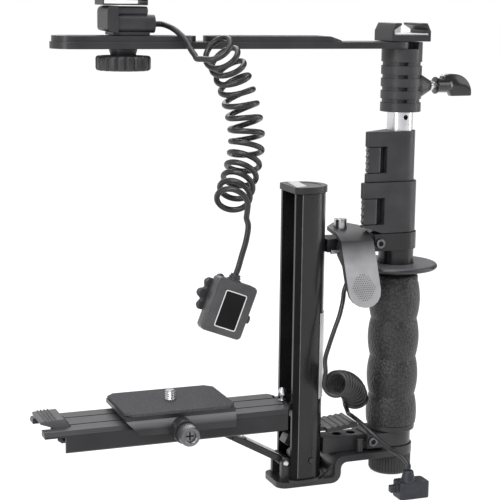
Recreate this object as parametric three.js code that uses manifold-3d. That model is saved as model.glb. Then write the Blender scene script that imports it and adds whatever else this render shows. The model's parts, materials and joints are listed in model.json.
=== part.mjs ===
// Camera flash bracket
//
// A folding camera tray hangs on a slotted post. Two clamped bars join the post to a telescoping
// grip column, and the column carries a slotted flash arm. A curly flash cord hangs from the
// arm, and a curly release cord runs from the trigger to its plug on the table.
//
// Lengths are in millimetres. +Z is up, +X runs from the tray to the grip, +Y away from the
// viewer. The origin is the centre of the flat underside of the knob below the column.

import * as THREE from 'three';
import { mergeVertices } from 'three/addons/utils/BufferGeometryUtils.js';
import Module from 'manifold-3d';

// Fits shared by every piece
const FIT = { gap: 0.3, overrun: 3, wall: 1.2, skin: 0.5 };

// Knob, foot and base casting
const KNOB = { radius: 13.3, height: 12.4, edge: 2.2, knurl: 0.45, shankRadius: 3 };
const BASE = {
  thickness: 3.6,
  upperThickness: 4.1,
  ringRadius: 13.6,
  lip: 1.9,
  left: -81.5,
  cornerRadius: 6,
  riser: -40,
  lowerBend: 6,
  upperBend: 4,
  innerBend: 2,
  gussetLength: 7.5,
  gussetHeight: 7.4,
  gussetInner: 8.6,
  gussetWidth: 2.6,
  rimHeight: 1.2,
  rimWall: 1.5,
  pedestalHeight: 10.4,
};
const EAR = {
  x: -75,
  height: 14.8,
  radius: 3,
  inner: 6,
  thickness: 3,
  boltRadius: 1.4,
  domeRadius: 2,
  dome: 1.3,
};

// Column, grip and guard
const TUBE = {
  outerRadius: 10.9,
  middleRadius: 9,
  studRadius: 7.95,
  studBore: 6.4,
  middleRise: 4.9,
  studLength: 190,
};
const PLUG = { height: 14 };
const GRIP = {
  ringRadius: 14.9,
  ringHeight: 3.6,
  height: 95.6,
  radius: 15.1,
  swell: 0.85,
  pitch: 24.2,
  firstSwell: 6.4,
  topRadius: 12.6,
  topTaper: 4.4,
};
const GUARD = { radius: 26, thickness: 3.4, hubRadius: 12.6, hubHeight: 3, neck: 9.4, edge: 1.2 };

// Bars between the column and the post
const BRACE = {
  lowerHeight: 9.1,
  lowerRadius: 12.5,
  lowerHalfWidth: 6.2,
  lowerBarDrop: 1,
  earLeft: -21.5,
  earHalfDepth: 11.8,
  holeRadius: 3,
  holeX: [-37.4, -27.9],
  pinX: -25.6,
  pinY: -9.2,
  pinRadius: 2.15,
  pinDrop: 3,
  upperHeight: 10.6,
  upperRadius: 12.1,
  upperFront: -6,
  upperBack: 10,
  upperBarHeight: 8,
};
const SOCKET_SCREW = {
  headRadius: 2.9,
  headHeight: 1.2,
  shankRadius: 1.6,
  reach: 14,
  hexRadius: 1.7,
  hexDepth: 1,
};
const SCREW_AT = { lowerX: -18, lowerRise: 4.5, upperX: -16.8, upperRise: 4.8 };

// Slotted post
const POST = {
  face: -72.7,
  flatHalfWidth: 11.8,
  halfWidth: 14,
  chamferX: -69.5,
  centreX: -63.6,
  mouthHalfWidth: 9.5,
  floorX: -61.5,
  floorHalfWidth: 7.5,
  foot: 0.3,
  height: 177.1,
  capThickness: 4,
  capOverhang: 0.9,
  inlayInset: 3.2,
};
const POST_SCREW = { x: -60.4, rise: 16.3, radius: 1.7, proud: 0.4, depth: 3.2 };
const LABEL = { bottom: 54.5, top: 107.6, halfAngle: 0.96, thickness: 0.35 };
const LATCH = {
  halfWidth: 4,
  left: -74.6,
  right: -61.8,
  bottom: 23.4,
  top: 31,
  nose: 26,
  heel: -71.5,
  round: 2.4,
};
const ROLLER = { radius: 3, x: -66.6, halfWidth: 4.2 };
const FOLD_LEVER = {
  tailEnd: -63,
  tailHalfWidth: 7,
  halfWidth: 11,
  root: -48.6,
  tip: -28.3,
  bottom: 32.1,
  thickness: 2.4,
  rise: 1.8,
  ribs: 5,
  ribHeight: 0.8,
  swing: 1.3,
};

// Folding tray, whose pieces keep their heights above the hinge's axis
const HINGE = {
  x: -74.6,
  height: 50.2,
  radius: 1.2,
  earInner: 6.2,
  earRadius: 2.1,
};

/** Heights given from the hinge's axis, at their real height. */
const onHinge = (rises) => Object.fromEntries(
  Object.entries(rises).map(([name, rise]) => [name, HINGE.height + rise]),
);

const HINGE_BLOCK = onHinge({ bottom: -6.2, top: 2.8 });
const TRAY = {
  ...onHinge({ deckTop: 1.7, bottom: -11.3 }),
  halfWidth: 20,
  deckThickness: 3.4,
  bevelDrop: 2.5,
  bevelRun: 2.5,
  wall: 2.2,
  chamfer: 1,
  left: -214.8,
  right: -75,
  notchX: -77.4,
  cornerRun: 7,
  cornerStep: 4,
  tongueEnd: -73.1,
  prongTip: -227,
  prongInner: 11.5,
  slotRoot: -209.5,
  grooveY: 7,
  grooveWidth: 1.1,
  grooveDepth: 0.9,
};
const END_LEVER = {
  ...onHinge({ tipTop: 6.1, tipBottom: 4.5, heelTop: 6.7, neckTop: 1.8, keelTop: 0.2, keelBottom: -2.4 }),
  halfWidth: 11,
  tip: -227.5,
  heel: -213.6,
  root: -209.9,
  keelX: -215.4,
  ribs: 4,
  ribPitch: 2,
  ribHeight: 0.7,
  firstRib: 3,
};
const END_PIN = {
  ...onHinge({ height: -5.6 }),
  y: -10,
  radius: 2.4,
  tipRadius: 0.7,
  tip: -217.4,
  shoulder: -215.2,
  end: -207,
};
const PLUNGER = {
  washerRadius: 2.5,
  washer: 0.7,
  stemRadius: 1.1,
  domeRadius: 2.75,
  domeBottom: 4,
  domeHeight: 4.4,
  shankRadius: 0.9,
  shank: 4.6,
};

// Support strut below the tray, drawn along its own -X from the ear bolt
const STRUT = {
  drop: 17.03,
  length: 38,
  halfWidth: 5,
  thickness: 3.8,
  eyeRadius: 3.4,
  stripStart: 4.5,
  stripEnd: 29,
  stripHalfWidth: 4,
  stripThickness: 0.7,
  shoeLength: 9.5,
  shoeThickness: 7.4,
};

// Quick release plate on the tray
const PLATE = {
  ...onHinge({ padTop: 9.2, jawBottom: -4.3 }),
  left: -180.2,
  right: -113,
  padHalfWidth: 23.5,
  padThickness: 1.7,
  padChamfer: 4.5,
  neckHalfWidth: 21.6,
  neckHeight: 2.6,
  jawHalfWidth: 23,
  jawBevelHeight: 2.9,
  jawBevelRun: 1.6,
  cut: 8.6,
};
const CAMERA_SCREW = { x: -146.7, radius: 3.17, proud: 6, headRadius: 7, headHeight: 2.4, headDepth: 3.2 };
const PLATE_KNOB = {
  ...onHinge({ height: -2.2 }),
  x: -147,
  bossRadius: 7,
  bossEnd: 31,
  radius: 6.1,
  end: 40,
  shankRadius: 2.4,
  recessRadius: 3.4,
  recessDepth: 2,
  edge: 0.8,
};

// Trigger hood and the release socket behind it, with heights above the trigger's pin
const HOOD = { left: -44, right: -22.5, thickness: 2.2, sideWall: 2, endRadius: 10, chamfer: 7 };
const HOOD_LINE = [
  [14, 13.8],
  [-7, 10.6],
  [-14.2, 6.8],
  [-21.4, -9.6],
  [-26.1, -21],
  [-29.4, -31.4],
];
const HOOD_FLANK = [
  [-14.2, 6.8],
  [-21.4, -9.6],
  [-26.1, -21],
  [-22.4, -21.6],
  [-16.4, -8],
  [-8.6, -2.6],
  [-7.6, 2.6],
  [-9.6, 6],
];
const TRIGGER_PIN = { y: -10.6, rise: 1, radius: 1.2, left: -49 };
const TRIGGER_SCREW = { x: -36, y: 5, radius: 4, top: 17.5, bottom: 8.4, slotWidth: 1.3, slotDepth: 1.7 };
const SOCKET = {
  left: -40,
  right: -30,
  front: -13.2,
  bottom: -6.4,
  top: 2.4,
  neckRadius: 2.6,
  neckDrop: 3.6,
  neckX: -36,
  neckY: -10.4,
};

// Flip locks, receiver and stud
const CLAMP = {
  lower: {
    radius: 11.2,
    height: 31.1,
    tailX: -27.3,
    window: 5.3,
    windowHeight: 16.4,
    windowRight: -14.2,
    leverRight: -19.2,
  },
  upper: {
    radius: 9.6,
    height: 30.4,
    tailX: -24.3,
    window: 5.2,
    windowHeight: 16.2,
    windowRight: -12.6,
    leverRight: -16.9,
  },
  tailRadius: 2,
  windowDepth: 6,
  leverDepth: 4.4,
  pivotRadius: 1.3,
  teeth: 4,
  toothRadius: 1.1,
  toothPitch: 3.9,
  undercutTip: 4.5,
  undercutRise: 3.1,
  undercutX: -24,
  undercutEnd: -15.5,
};
const STUD = { exposed: 11.5, crossHole: 1.5, crossRise: 8.2, socketDepth: 30 };
const RECEIVER = {
  radius: 12.4,
  height: 37.8,
  grooveDepth: 0.9,
  grooveHeight: 2.4,
  grooveRise: [5.4, 12.6, 20, 27.6],
  pocketDepth: 3.2,
  pocketRight: -1.3,
  bossTip: 19.2,
  bossTipRadius: 3.4,
  bossRootRadius: 8,
  bossRise: 15.3,
  lipHeight: 3.9,
  lipInner: 5.6,
};
const WING = {
  shankRadius: 2.2,
  flange: 22.7,
  flangeThickness: 1.4,
  flangeRadius: 5.2,
  stemRadius: 4.4,
  stemEnd: 34,
  left: 26,
  right: 47.6,
  rise: 6.9,
  drop: 6.6,
  halfThickness: 3.1,
  round: 6,
};

// Flash arm with its two slots, and the shoe at its end
const ARM = {
  left: -217,
  right: 4.5,
  halfWidth: 12.5,
  thickness: 3.9,
  rimHeight: 3.3,
  rimHalfWidth: 11.3,
  slotHalfWidth: 3.5,
  rims: [
    [-216, -132.5],
    [-127, -41],
  ],
  rimWall: 7,
  taper: 11.5,
};
const SHOE = {
  halfWidth: 13,
  halfDepth: 12.1,
  height: 10.9,
  floor: 3.9,
  slotHeight: 3,
  slotHalfWidth: 11.3,
  mouthHalfWidth: 6.6,
  chamfer: 2.4,
  lipEdge: 1.2,
};
const SPRING = { thickness: 0.6, tabHalfWidth: 3, tabY: 8.5, tabHeight: 6.4 };
const ARM_BOLT = { radius: 3, headRadius: 6, headHeight: 2.2, depth: 6 };

// Cord head clamped in the arm's left slot
const HEAD = {
  x: -175,
  left: -187,
  cheekRight: -180.6,
  cheekHalfDepth: 11,
  cheekTop: 16.2,
  halfDepth: 10,
  upperRight: -163,
  lowerRight: -158.8,
  footLeft: -183,
  footRight: -162,
  footHalfDepth: 9,
  footHeight: 1.3,
  waist: 10.9,
  top: 15.9,
  round: 4,
  upperInset: 1.4,
};
const RAILS = { left: -189, right: -163, halfDepth: 9, height: 3.6, sheet: 0.8, leftLip: 8, rightLip: 9 };
const GLAND = { radius: 3, collarRadius: 2.5, end: -156.3, rise: 6.1 };
const HEAD_KNOB = {
  radius: 15.6,
  drop: 12.3,
  height: 8.2,
  lobes: 18,
  lobeDepth: 1.1,
  hubRadius: 7.9,
  hubFlare: 1.1,
  cupRadius: 12.6,
  floor: 2.4,
  shankRadius: 3.1,
  shankReach: 7,
};

// Camera end of the flash cord, drawn upright and then tilted, hanging below the arm
const BLOCK = {
  centre: [-130.8, -54, -140.6],
  tilt: 0.36,
  halfWidth: 12.5,
  halfHeight: 15.5,
  halfDepth: 4.5,
  round: 3,
  frameInset: 3,
  frameDepth: 0.5,
  neckX: -2,
  neckRadius: 3,
  neckHeight: 3.6,
  footHalfWidth: 9.2,
  footThickness: 2,
  stalkRadius: 4,
};
const WHEEL = { x: -4, z: 3, radius: 14, lobes: 10, lobeDepth: 2.4, thickness: 3.4 };

// Cords: thickness, winding and hand-chosen routes, the flash cord's heights from the arm's underside
const FLASH_CORD = { radius: 1.65, windRadius: 9, curls: 13.375, startAngle: 2.4, hand: -1 };
const FLASH_AXIS = [
  [-133.2, -35, 2.3],
  [-124.9, -30, -5.9],
  [-119.6, -27, -14.4],
  [-116.5, -26, -21.7],
  [-114.1, -26, -29],
  [-112.2, -26.5, -36.4],
  [-111.1, -27.5, -43.6],
  [-110.9, -28.5, -50.9],
  [-112.1, -30, -58.1],
  [-114.7, -32.5, -65.1],
  [-118.7, -37, -72.4],
  [-123.3, -43, -78.5],
  [-127.4, -50, -83.5],
];
const FLASH_LEAD_UPPER = [
  [-149, -9.5, 11.5],
  [-146.2, -15.5, 8.1],
  [-144.2, -21, 4.3],
  [-143.6, -26, 0.3],
  [-142.8, -31, -2.9],
];
const FLASH_LEAD_LOWER = [
  [-118.2, -51.8, -95.3],
  [-119.7, -52.6, -103.9],
  [-122.3, -53.3, -111.6],
];
const RELEASE_CORD = { radius: 1.38, windRadius: 6.9, curls: 10.125, startAngle: 4.9, hand: -1 };
const RELEASE_AXIS = [
  [-53.6, -31, 68.6],
  [-46.4, -23.5, 66.6],
  [-39.5, -16.5, 63.3],
  [-33.5, -10.2, 59],
  [-28.9, -5, 54.3],
  [-26, -1.5, 49.8],
  [-24.5, 0.5, 46],
];
const RELEASE_LEAD = [
  [-36.6, -11.4],
  [-39, -12.6],
  [-41.2, -14],
  [-42.2, -15],
  [-45.6, -18],
  [-50.2, -21],
  [-54.2, -23],
  [-56.8, -23.4],
];
const RELEASE_LEAD_SHARES = [0.91, 0.843, 0.768, 0.684, 0.541, 0.403, 0.261, 0.117];
const RELEASE_TAIL = [
  [-30.8, -8.2, 40.2],
  [-28.9, -13.4, 38.4],
  [-25.5, -19.5, 34.6],
  [-22.3, -25, 31],
  [-19.7, -31, 28.2],
  [-17.5, -37, 25.7],
  [-15.2, -43.4, 24.2],
];
const RELEASE_PLUG = {
  x: -12.4,
  y: -50,
  left: -20,
  right: -0.6,
  halfDepth: 6,
  height: 10.4,
  round: 2,
  neckRadius: 4.6,
  neckTopRadius: 3,
  neckHeight: 6.4,
  tipLeft: -24.6,
  tipBottom: 4,
  tipHeight: 4.4,
  tipHalfDepth: 2.2,
};

// Sides of round pieces: counts, not lengths
const SIDES = { round: 28, small: 14, cord: 8, curl: 5, curlSteps: 8, gripWaves: 4 };
const CORNER_STEP = Math.PI / 8;

// Levels of the column, each stacked on the one below
const level = {};
level.plateUnder = KNOB.height + FIT.gap;
level.plateTop = level.plateUnder + BASE.upperThickness;
level.ringTop = level.plateTop + BASE.lip;
level.lowerBrace = level.ringTop + FIT.gap;
level.lowerBraceTop = level.lowerBrace + BRACE.lowerHeight;
level.gripRing = level.lowerBraceTop + FIT.gap;
level.grip = level.gripRing + GRIP.ringHeight + FIT.gap;
level.gripTop = level.grip + GRIP.height;
level.guardHub = level.gripTop + FIT.gap;
level.guard = level.guardHub + GUARD.hubHeight;
level.guardTop = level.guard + GUARD.thickness;
level.upperBrace = level.guardTop + GUARD.neck;
level.upperBraceTop = level.upperBrace + BRACE.upperHeight;
level.triggerPin = level.upperBrace + TRIGGER_PIN.rise;
level.lowerClamp = level.upperBraceTop + FIT.gap;
level.lowerClampTop = level.lowerClamp + CLAMP.lower.height;
level.upperClamp = level.lowerClampTop + FIT.gap;
level.upperClampTop = level.upperClamp + CLAMP.upper.height;
level.receiver = level.upperClampTop + STUD.exposed;
level.receiverTop = level.receiver + RECEIVER.height;
level.arm = level.receiverTop + FIT.gap;
level.armTop = level.arm + ARM.thickness;
level.rimTop = level.armTop + ARM.rimHeight;
level.shoe = level.armTop + FIT.gap;
level.head = level.rimTop + FIT.gap;
level.post = BASE.thickness + POST.foot;
level.postTop = level.post + POST.height;

// Solids
const wasm = await Module();
wasm.setup();

/** Turns a closed three.js geometry into a solid whose faces point out. */
function solidOf(geometry) {
  const bare = geometry.clone();
  bare.deleteAttribute('normal');
  bare.deleteAttribute('uv');
  const merged = mergeVertices(bare, 1e-4);
  const places = merged.attributes.position.array;
  const corners = merged.index.array;
  const kept = [];
  let volume = 0;
  for (let i = 0; i < corners.length; i += 3) {
    const [a, b, c] = [corners[i], corners[i + 1], corners[i + 2]];
    if (a === b || b === c || c === a) continue;
    kept.push(a, b, c);
    const [p, q, r] = [a, b, c].map((corner) => new THREE.Vector3().fromArray(places, corner * 3));
    volume += p.dot(q.cross(r));
  }
  if (volume < 0) kept.reverse();
  const vertProperties = new Float32Array(places);
  const triVerts = new Uint32Array(kept);
  return new wasm.Manifold(new wasm.Mesh({ numProp: 3, vertProperties, triVerts }));
}

/** Gives a solid back as a geometry with flat faces. */
function geometryOf(solid) {
  const mesh = solid.getMesh();
  const geometry = new THREE.BufferGeometry();
  geometry.setAttribute('position', new THREE.BufferAttribute(mesh.vertProperties, mesh.numProp));
  geometry.setIndex(new THREE.BufferAttribute(mesh.triVerts, 1));
  const flat = geometry.toNonIndexed();
  flat.computeVertexNormals();
  return flat;
}

/** Makes a named mesh of a solid or geometry with its own material. */
function part(name, shape, color, roughness = 0.5, metalness = 0) {
  const geometry = shape.isBufferGeometry ? shape : geometryOf(shape);
  const mesh = new THREE.Mesh(geometry, new THREE.MeshStandardMaterial({ color, roughness, metalness }));
  mesh.name = name;
  return mesh;
}

const join = (first, ...others) => others.reduce((whole, other) => whole.add(other), first);
const cut = (first, ...tools) => tools.reduce((whole, tool) => whole.subtract(tool), first);

// Directions that an outline is extruded or a profile turned along. An outline's own pair of
// values is (x, y) for up, (x, z) for front and (y, z) for right. Front points to the viewer.
const FACING = {
  up: new THREE.Matrix4(),
  front: new THREE.Matrix4().makeRotationX(Math.PI / 2),
  right: new THREE.Matrix4().makeBasis(
    new THREE.Vector3(0, 1, 0),
    new THREE.Vector3(0, 0, 1),
    new THREE.Vector3(1, 0, 0),
  ),
};

/** Extrudes an outline of Vector2 points along a direction, from one distance to another. */
function extruded(points, facing, from, to) {
  const shape = new THREE.Shape(points);
  const geometry = new THREE.ExtrudeGeometry(shape, { depth: to - from, bevelEnabled: false });
  geometry.translate(0, 0, from);
  geometry.applyMatrix4(FACING[facing]);
  return solidOf(geometry);
}

/** Turns a profile of [radius, distance] pairs about an axis through a centre. */
function turned(profile, facing, centre = [0, 0, 0], sides = SIDES.round) {
  const points = profile.map(([radius, distance]) => new THREE.Vector2(radius, distance));
  if (THREE.ShapeUtils.area(points) < 0) points.reverse();
  if (points[0].x !== 0) points.push(points[0].clone());
  const geometry = new THREE.LatheGeometry(points, sides);
  geometry.rotateX(Math.PI / 2);
  geometry.applyMatrix4(FACING[facing]);
  geometry.translate(...centre);
  return solidOf(geometry);
}

/** A plain rod between two distances along a direction. */
function rod(radius, facing, from, to, centre, sides) {
  return turned([[0, from], [radius, from], [radius, to], [0, to]], facing, centre, sides);
}

/** A plain tube between two heights. */
function sleeve(outer, inner, bottom, top, sides) {
  return turned([[inner, bottom], [outer, bottom], [outer, top], [inner, top]], 'up', [0, 0, 0], sides);
}

/** A box between two x, two y and two z values. */
function box([left, right], [front, back], [bottom, top]) {
  const geometry = new THREE.BoxGeometry(right - left, back - front, top - bottom);
  geometry.translate((left + right) / 2, (front + back) / 2, (bottom + top) / 2);
  return solidOf(geometry);
}

/** An outline from corners [x, y, radius], each corner rounded where it has a radius. */
function outline(corners) {
  return corners.flatMap(([x, y, radius = 0], i) => {
    const here = new THREE.Vector2(x, y);
    if (radius === 0) return [here];
    const [beforeX, beforeY] = corners[(i + corners.length - 1) % corners.length];
    const [afterX, afterY] = corners[(i + 1) % corners.length];
    const back = new THREE.Vector2(beforeX, beforeY).sub(here);
    const ahead = new THREE.Vector2(afterX, afterY).sub(here);
    const room = Math.min(back.length(), ahead.length()) / 2;
    back.normalize();
    ahead.normalize();
    const half = Math.acos(THREE.MathUtils.clamp(back.dot(ahead), -1, 1)) / 2;
    const reach = Math.min(radius / Math.tan(half), room);
    const bend = reach * Math.tan(half);
    const toCentre = back.clone().add(ahead).normalize().multiplyScalar(bend / Math.sin(half));
    const centre = here.clone().add(toCentre);
    const start = here.clone().addScaledVector(back, reach).sub(centre);
    const sweep = (Math.PI - 2 * half) * Math.sign(ahead.cross(back));
    const steps = Math.max(2, Math.round(Math.abs(sweep) / CORNER_STEP));
    return Array.from({ length: steps + 1 }, (_, step) => {
      const turn = (sweep * step) / steps;
      return start.clone().rotateAround(new THREE.Vector2(), turn).add(centre);
    });
  });
}

/** The outline round two circles [x, y, radius] and their common tangents. */
function tangentOutline([x1, y1, r1], [x2, y2, r2], sides = SIDES.round) {
  const along = Math.atan2(y2 - y1, x2 - x1);
  const spread = Math.acos((r1 - r2) / Math.hypot(x2 - x1, y2 - y1));
  const arc = (x, y, radius, from, to) => {
    const steps = Math.max(4, Math.round((sides * (to - from)) / (2 * Math.PI)));
    return Array.from({ length: steps + 1 }, (_, step) => {
      const turn = from + ((to - from) * step) / steps;
      return new THREE.Vector2(x + radius * Math.cos(turn), y + radius * Math.sin(turn));
    });
  };
  return [
    ...arc(x1, y1, r1, along + spread, along + 2 * Math.PI - spread),
    ...arc(x2, y2, r2, along - spread, along + spread),
  ];
}

/** The outline of a sheet that follows a line, on its right-hand side. */
function sheetOutline(line, thickness) {
  const points = line.map(([x, y]) => new THREE.Vector2(x, y));
  const inner = points.map((point, i) => {
    const before = points[Math.max(i - 1, 0)];
    const after = points[Math.min(i + 1, points.length - 1)];
    const first = point.clone().sub(i > 0 ? before : after).normalize();
    const second = after.clone().sub(i < points.length - 1 ? point : before).normalize();
    if (i === 0) first.copy(second);
    const bisector = first.clone().add(second).normalize();
    const reach = thickness / Math.max(bisector.dot(second), 0.5);
    return point.clone().add(new THREE.Vector2(-bisector.y, bisector.x).multiplyScalar(reach));
  });
  return [...points, ...inner.reverse()];
}

/** A circle whose radius waves in and out, for knobs with lobes or a knurl. */
function lobedOutline(radius, depth, lobes, stepsPerLobe, [x, y] = [0, 0]) {
  const steps = lobes * stepsPerLobe;
  return Array.from({ length: steps }, (_, step) => {
    const turn = (2 * Math.PI * step) / steps;
    const reach = radius - depth * (0.5 - 0.5 * Math.cos(turn * lobes));
    return new THREE.Vector2(x + reach * Math.cos(turn), y + reach * Math.sin(turn));
  });
}

// Cords

/** Centre points of a helix about a curved axis. Its first turn starts at the given angle. */
function helixPoints(axisPoints, cord, steer, stepsPerCurl) {
  const axis = new THREE.CatmullRomCurve3(axisPoints.map((point) => new THREE.Vector3(...point)));
  const steps = cord.curls * stepsPerCurl;
  return Array.from({ length: steps + 1 }, (_, step) => {
    const along = axis.getTangentAt(step / steps);
    const side = steer.clone().addScaledVector(along, -steer.dot(along)).normalize();
    const other = along.clone().cross(side);
    const turn = cord.startAngle + (cord.hand * 2 * Math.PI * step) / stepsPerCurl;
    return axis
      .getPointAt(step / steps)
      .addScaledVector(side, cord.windRadius * Math.cos(turn))
      .addScaledVector(other, cord.windRadius * Math.sin(turn));
  });
}

/** Adds one straight diameter at each end of a line of centre points. */
function withStraightEnds(points, radius) {
  const first = points[0].clone().add(points[0]).sub(points[1]);
  const last = points.at(-1).clone().add(points.at(-1)).sub(points.at(-2));
  const start = points[0].clone().lerp(first, (2 * radius) / points[0].distanceTo(first));
  const end = points.at(-1).clone().lerp(last, (2 * radius) / points.at(-1).distanceTo(last));
  return [start, ...points, end];
}

/** One closed tube through centre points, with flat ends. */
function tubeThrough(points, radius, sides) {
  const places = [];
  const faces = [];
  const normal = new THREE.Vector3(0.3, 0.2, 1);
  points.forEach((point, i) => {
    const ahead = points[Math.min(i + 1, points.length - 1)].clone();
    const along = ahead.sub(points[Math.max(i - 1, 0)]).normalize();
    normal.addScaledVector(along, -normal.dot(along)).normalize();
    const other = along.clone().cross(normal);
    for (let side = 0; side < sides; side += 1) {
      const turn = (2 * Math.PI * side) / sides;
      const rim = point.clone().addScaledVector(normal, radius * Math.cos(turn));
      places.push(...rim.addScaledVector(other, radius * Math.sin(turn)).toArray());
    }
  });
  const last = (points.length - 1) * sides;
  for (let ring = 0; ring < last; ring += sides) {
    for (let side = 0; side < sides; side += 1) {
      const next = (side + 1) % sides;
      faces.push(ring + side, ring + next, ring + sides + next);
      faces.push(ring + side, ring + sides + next, ring + sides + side);
    }
  }
  for (let side = 1; side < sides - 1; side += 1) {
    faces.push(0, side + 1, side, last, last + side, last + side + 1);
  }
  const geometry = new THREE.BufferGeometry();
  geometry.setAttribute('position', new THREE.BufferAttribute(new Float32Array(places), 3));
  geometry.setIndex(faces);
  geometry.computeVertexNormals();
  return geometry;
}

/** A plain strand through points, straight where it leaves and arrives. */
function strand(points, radius) {
  const path = new THREE.CatmullRomCurve3(points);
  const steps = Math.max(6, Math.round(path.getLength() / (radius * 5.5)));
  const ring = Array.from({ length: SIDES.cord }, (_, side) => {
    const turn = (2 * Math.PI * side) / SIDES.cord;
    return new THREE.Vector2(radius * Math.cos(turn), radius * Math.sin(turn));
  });
  const settings = { steps, extrudePath: path, bevelEnabled: false };
  return solidOf(new THREE.ExtrudeGeometry(new THREE.Shape(ring), settings));
}

/** The point a given distance beyond the end of a line of points. */
function beyond(points, distance) {
  const [last, before] = [points.at(-1), points.at(-2)];
  return last.clone().addScaledVector(last.clone().sub(before).normalize(), distance);
}

/** Prints the least gap between turns that lie at least half a curl apart. */
function reportLeastGap(name, axisPoints, cord, steer) {
  const fine = SIDES.curlSteps * 4;
  const points = helixPoints(axisPoints, cord, steer, fine);
  let least = Infinity;
  for (let i = 0; i < points.length; i += 1) {
    for (let j = i + fine / 2; j < points.length; j += 1) {
      least = Math.min(least, points[i].distanceTo(points[j]));
    }
  }
  console.log(`${name}: least gap to itself ${(least - 2 * cord.radius).toFixed(2)} mm`);
}

const toVectors = (points) => points.map((point) => new THREE.Vector3(...point));

// Base, post and bars

/** The post's D-shaped outline, grown on every side by a margin. */
function postOutline(margin = 0) {
  const reach = POST.halfWidth + margin;
  const steps = 12;
  const round = Array.from({ length: steps + 1 }, (_, step) => {
    const turn = -Math.PI / 2 + (Math.PI * step) / steps;
    return new THREE.Vector2(POST.centreX + reach * Math.cos(turn), reach * Math.sin(turn));
  });
  const flat = POST.flatHalfWidth + margin / 2;
  return [
    new THREE.Vector2(POST.face - margin, flat),
    new THREE.Vector2(POST.face - margin, -flat),
    new THREE.Vector2(POST.chamferX - margin / 2, -reach),
    ...round,
    new THREE.Vector2(POST.chamferX - margin / 2, reach),
  ];
}

function baseCasting() {
  const inside = BASE.riser - BASE.upperThickness;
  const side = outline([
    [BASE.left, 0],
    [BASE.riser, 0, BASE.lowerBend],
    [BASE.riser, level.plateUnder, BASE.upperBend],
    [BASE.ringRadius, level.plateUnder],
    [BASE.ringRadius, level.plateTop],
    [inside, level.plateTop, BASE.lowerBend],
    [inside, BASE.thickness, BASE.innerBend],
    [BASE.left, BASE.thickness],
  ]);
  const plan = outline([
    [BASE.left, -BASE.ringRadius, BASE.cornerRadius],
    [0, -BASE.ringRadius],
    [0, BASE.ringRadius],
    [BASE.left, BASE.ringRadius, BASE.cornerRadius],
  ]);
  const footprint = join(
    extruded(plan, 'up', -FIT.overrun, level.ringTop + FIT.overrun),
    rod(BASE.ringRadius, 'up', -FIT.overrun, level.ringTop + FIT.overrun),
  );
  const strip = extruded(side, 'front', -BASE.ringRadius, BASE.ringRadius).intersect(footprint);
  const lip = rod(BASE.ringRadius, 'up', level.plateTop - FIT.skin, level.ringTop);
  const tubeSeat = rod(TUBE.outerRadius + FIT.gap, 'up', level.plateTop, level.ringTop + FIT.overrun);
  const knobHole = rod(KNOB.shankRadius + FIT.gap, 'up', 0, level.ringTop, [0, 0, 0], SIDES.small);
  const gusset = [
    [inside + FIT.skin, BASE.thickness - FIT.skin],
    [inside + FIT.skin, BASE.thickness + BASE.gussetHeight],
    [inside - BASE.gussetLength, BASE.thickness - FIT.skin],
  ].map(([x, z]) => new THREE.Vector2(x, z));
  const gussetOuter = BASE.gussetInner + BASE.gussetWidth;
  const rimTop = BASE.thickness + BASE.rimHeight;
  const rim = cut(
    extruded(postOutline(FIT.gap + BASE.rimWall), 'up', BASE.thickness - FIT.skin, rimTop),
    extruded(postOutline(FIT.gap), 'up', BASE.thickness, rimTop + FIT.overrun),
    box([BASE.left - FIT.overrun, EAR.x], [-POST.mouthHalfWidth, POST.mouthHalfWidth],
      [BASE.thickness, rimTop]),
  );
  const ear = outline([
    [EAR.x - EAR.radius, BASE.thickness - FIT.skin],
    [EAR.x + EAR.radius, BASE.thickness - FIT.skin],
    [EAR.x + EAR.radius, EAR.height + EAR.radius, EAR.radius],
    [EAR.x - EAR.radius, EAR.height + EAR.radius, EAR.radius],
  ]);
  const earOuter = EAR.inner + EAR.thickness;
  const boltHole = rod(EAR.boltRadius + FIT.gap, 'front', -earOuter - FIT.overrun, earOuter + FIT.overrun,
    [EAR.x, 0, EAR.height], SIDES.small);
  const pedestal = box(
    [EAR.x + EAR.radius + FIT.skin, POST.floorX - FIT.gap],
    [-ROLLER.halfWidth, ROLLER.halfWidth],
    [BASE.thickness - FIT.skin, BASE.thickness + BASE.pedestalHeight],
  );
  return cut(
    join(
      strip,
      lip,
      extruded(gusset, 'front', BASE.gussetInner, gussetOuter),
      extruded(gusset, 'front', -gussetOuter, -BASE.gussetInner),
      rim,
      extruded(ear, 'front', EAR.inner, earOuter),
      extruded(ear, 'front', -earOuter, -EAR.inner),
      pedestal,
    ),
    tubeSeat,
    knobHole,
    boltHole,
  );
}

function baseKnob() {
  const body = turned([
    [0, 0],
    [KNOB.radius - KNOB.edge, 0],
    [KNOB.radius - KNOB.edge * 0.3, KNOB.edge * 0.4],
    [KNOB.radius, KNOB.edge],
    [KNOB.radius, KNOB.height],
    [0, KNOB.height],
  ], 'up');
  const knurl = extruded(lobedOutline(KNOB.radius, KNOB.knurl, 36, 2), 'up', -FIT.overrun, KNOB.height);
  const shankTop = level.plateTop + FIT.gap + PLUG.height;
  const shank = rod(KNOB.shankRadius, 'up', KNOB.height - FIT.skin, shankTop, [0, 0, 0], SIDES.small);
  return join(body.intersect(knurl), shank);
}

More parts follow.
